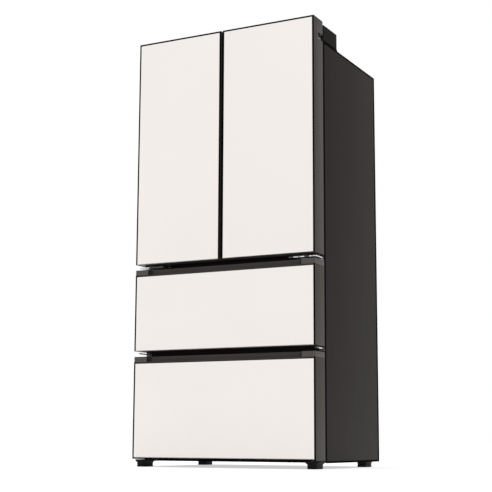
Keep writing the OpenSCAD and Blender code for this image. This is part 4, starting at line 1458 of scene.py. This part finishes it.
class FRIDGE_OT_stage(bpy.types.Operator):
    """Lays the floor and sets the light and the camera"""

    bl_idname = "fridge.stage"
    bl_label = "Stage"

    aimed_at = Vector((0, 0, 0.9))

    def execute(self, context):
        setting = context.scene.fridge_stage
        for name in ("Cube", "Light", "Camera"):
            if name in bpy.data.objects:
                bpy.data.objects.remove(bpy.data.objects[name])
        half_width = 60
        mesh = bmesh.new()
        bmesh.ops.create_grid(mesh, x_segments=1, y_segments=1, size=half_width)
        data = bpy.data.meshes.new("floor")
        mesh.to_mesh(data)
        mesh.free()
        floor = bpy.data.objects.new("floor", data)
        floor_finish = Finish("floor_paper", (0.5, 0.5, 0.5), 0.95, Specular_IOR_Level=0.0,
                              Emission_Color=(1, 1, 1, 1), Emission_Strength=0.55)
        floor_finish.vary_colour(floor_finish.noise(0.7), 0.99, 1.01)
        data.materials.append(floor_finish.material)
        context.scene.collection.objects.link(floor)
        self.light(context.scene, setting)
        self.camera(context.scene, setting)
        return {"FINISHED"}

    def light(self, scene, setting):
        """Even daylight from all round and four soft round lamps."""
        world = bpy.data.worlds.new("studio")
        world.use_nodes = True
        background = world.node_tree.nodes["Background"]
        background.inputs["Color"].default_value = (1, 1, 1, 1)
        background.inputs["Strength"].default_value = setting.daylight
        scene.world = world
        scene.view_settings.view_transform = "Standard"
        for name, place, size, power in (("key_lamp", (-2.6, -3.2, 3.6), 2.6, 9),
                                         ("side_lamp", (3.8, -1.2, 2.4), 2.4, 4),
                                         ("back_lamp", (-3.4, 2.4, 2.6), 1.2, 60),
                                         ("top_lamp", (0, 0.4, 4.6), 3.0, 80)):
            lamp = bpy.data.lights.new(name, "AREA")
            lamp.shape = "DISK"
            lamp.size = size
            lamp.energy = power
            holder = bpy.data.objects.new(name, lamp)
            holder.location = place
            aim = self.aimed_at - Vector(place)
            holder.rotation_euler = aim.to_track_quat("-Z", "Y").to_euler()
            scene.collection.objects.link(holder)

    def camera(self, scene, setting):
        """The camera, low in front of the right side."""
        camera = bpy.data.cameras.new("camera")
        camera.lens = setting.lens
        camera.sensor_width = 36
        camera.clip_end = 200
        holder = bpy.data.objects.new("camera", camera)
        holder.location = setting.place
        look = (Euler((0, 0, setting.turn)).to_matrix()
                @ Euler((math.pi / 2 + setting.pitch, 0, 0)).to_matrix()
                @ Euler((0, 0, setting.roll)).to_matrix())
        holder.rotation_euler = look.to_euler()
        scene.collection.objects.link(holder)
        scene.camera = holder


STEPS = (FRIDGE_OT_stage, FRIDGE_OT_cabinet, FRIDGE_OT_foam, FRIDGE_OT_liners, FRIDGE_OT_panels,
         FRIDGE_OT_frames, FRIDGE_OT_grips, FRIDGE_OT_hinges, FRIDGE_OT_feet,
         FRIDGE_OT_machine_space, FRIDGE_OT_cooling, FRIDGE_OT_shelves, FRIDGE_OT_crispers,
         FRIDGE_OT_slides, FRIDGE_OT_gaskets, FRIDGE_OT_door_inners, FRIDGE_OT_door_bins,
         FRIDGE_OT_drawers)


class FRIDGE_PT_pieces(bpy.types.Panel):
    """Lists the steps that build the refrigerator"""

    bl_label = "Refrigerator"
    bl_space_type = "VIEW_3D"
    bl_region_type = "UI"
    bl_category = "Refrigerator"

    def draw(self, context):
        layout = self.layout
        for step in STEPS:
            layout.operator(step.bl_idname)
        for group in (context.scene.fridge_colours, context.scene.fridge_edges,
                      context.scene.fridge_stage):
            box = layout.box()
            for name in group.__annotations__:
                box.prop(group, name)


SETTINGS = {"fridge_colours": FridgeColours, "fridge_edges": FridgeEdges,
            "fridge_stage": FridgeStage}


def register():
    for kind in (*SETTINGS.values(), *STEPS, FRIDGE_PT_pieces):
        bpy.utils.register_class(kind)
    for name, kind in SETTINGS.items():
        setattr(bpy.types.Scene, name, bpy.props.PointerProperty(type=kind))


def unregister():
    for name in SETTINGS:
        delattr(bpy.types.Scene, name)
    for kind in (FRIDGE_PT_pieces, *reversed(STEPS), *SETTINGS.values()):
        bpy.utils.unregister_class(kind)


def main():
    register()
    for step in STEPS:
        getattr(bpy.ops.fridge, step.bl_idname.split(".")[1])()


if __name__ == "__main__":
    main()
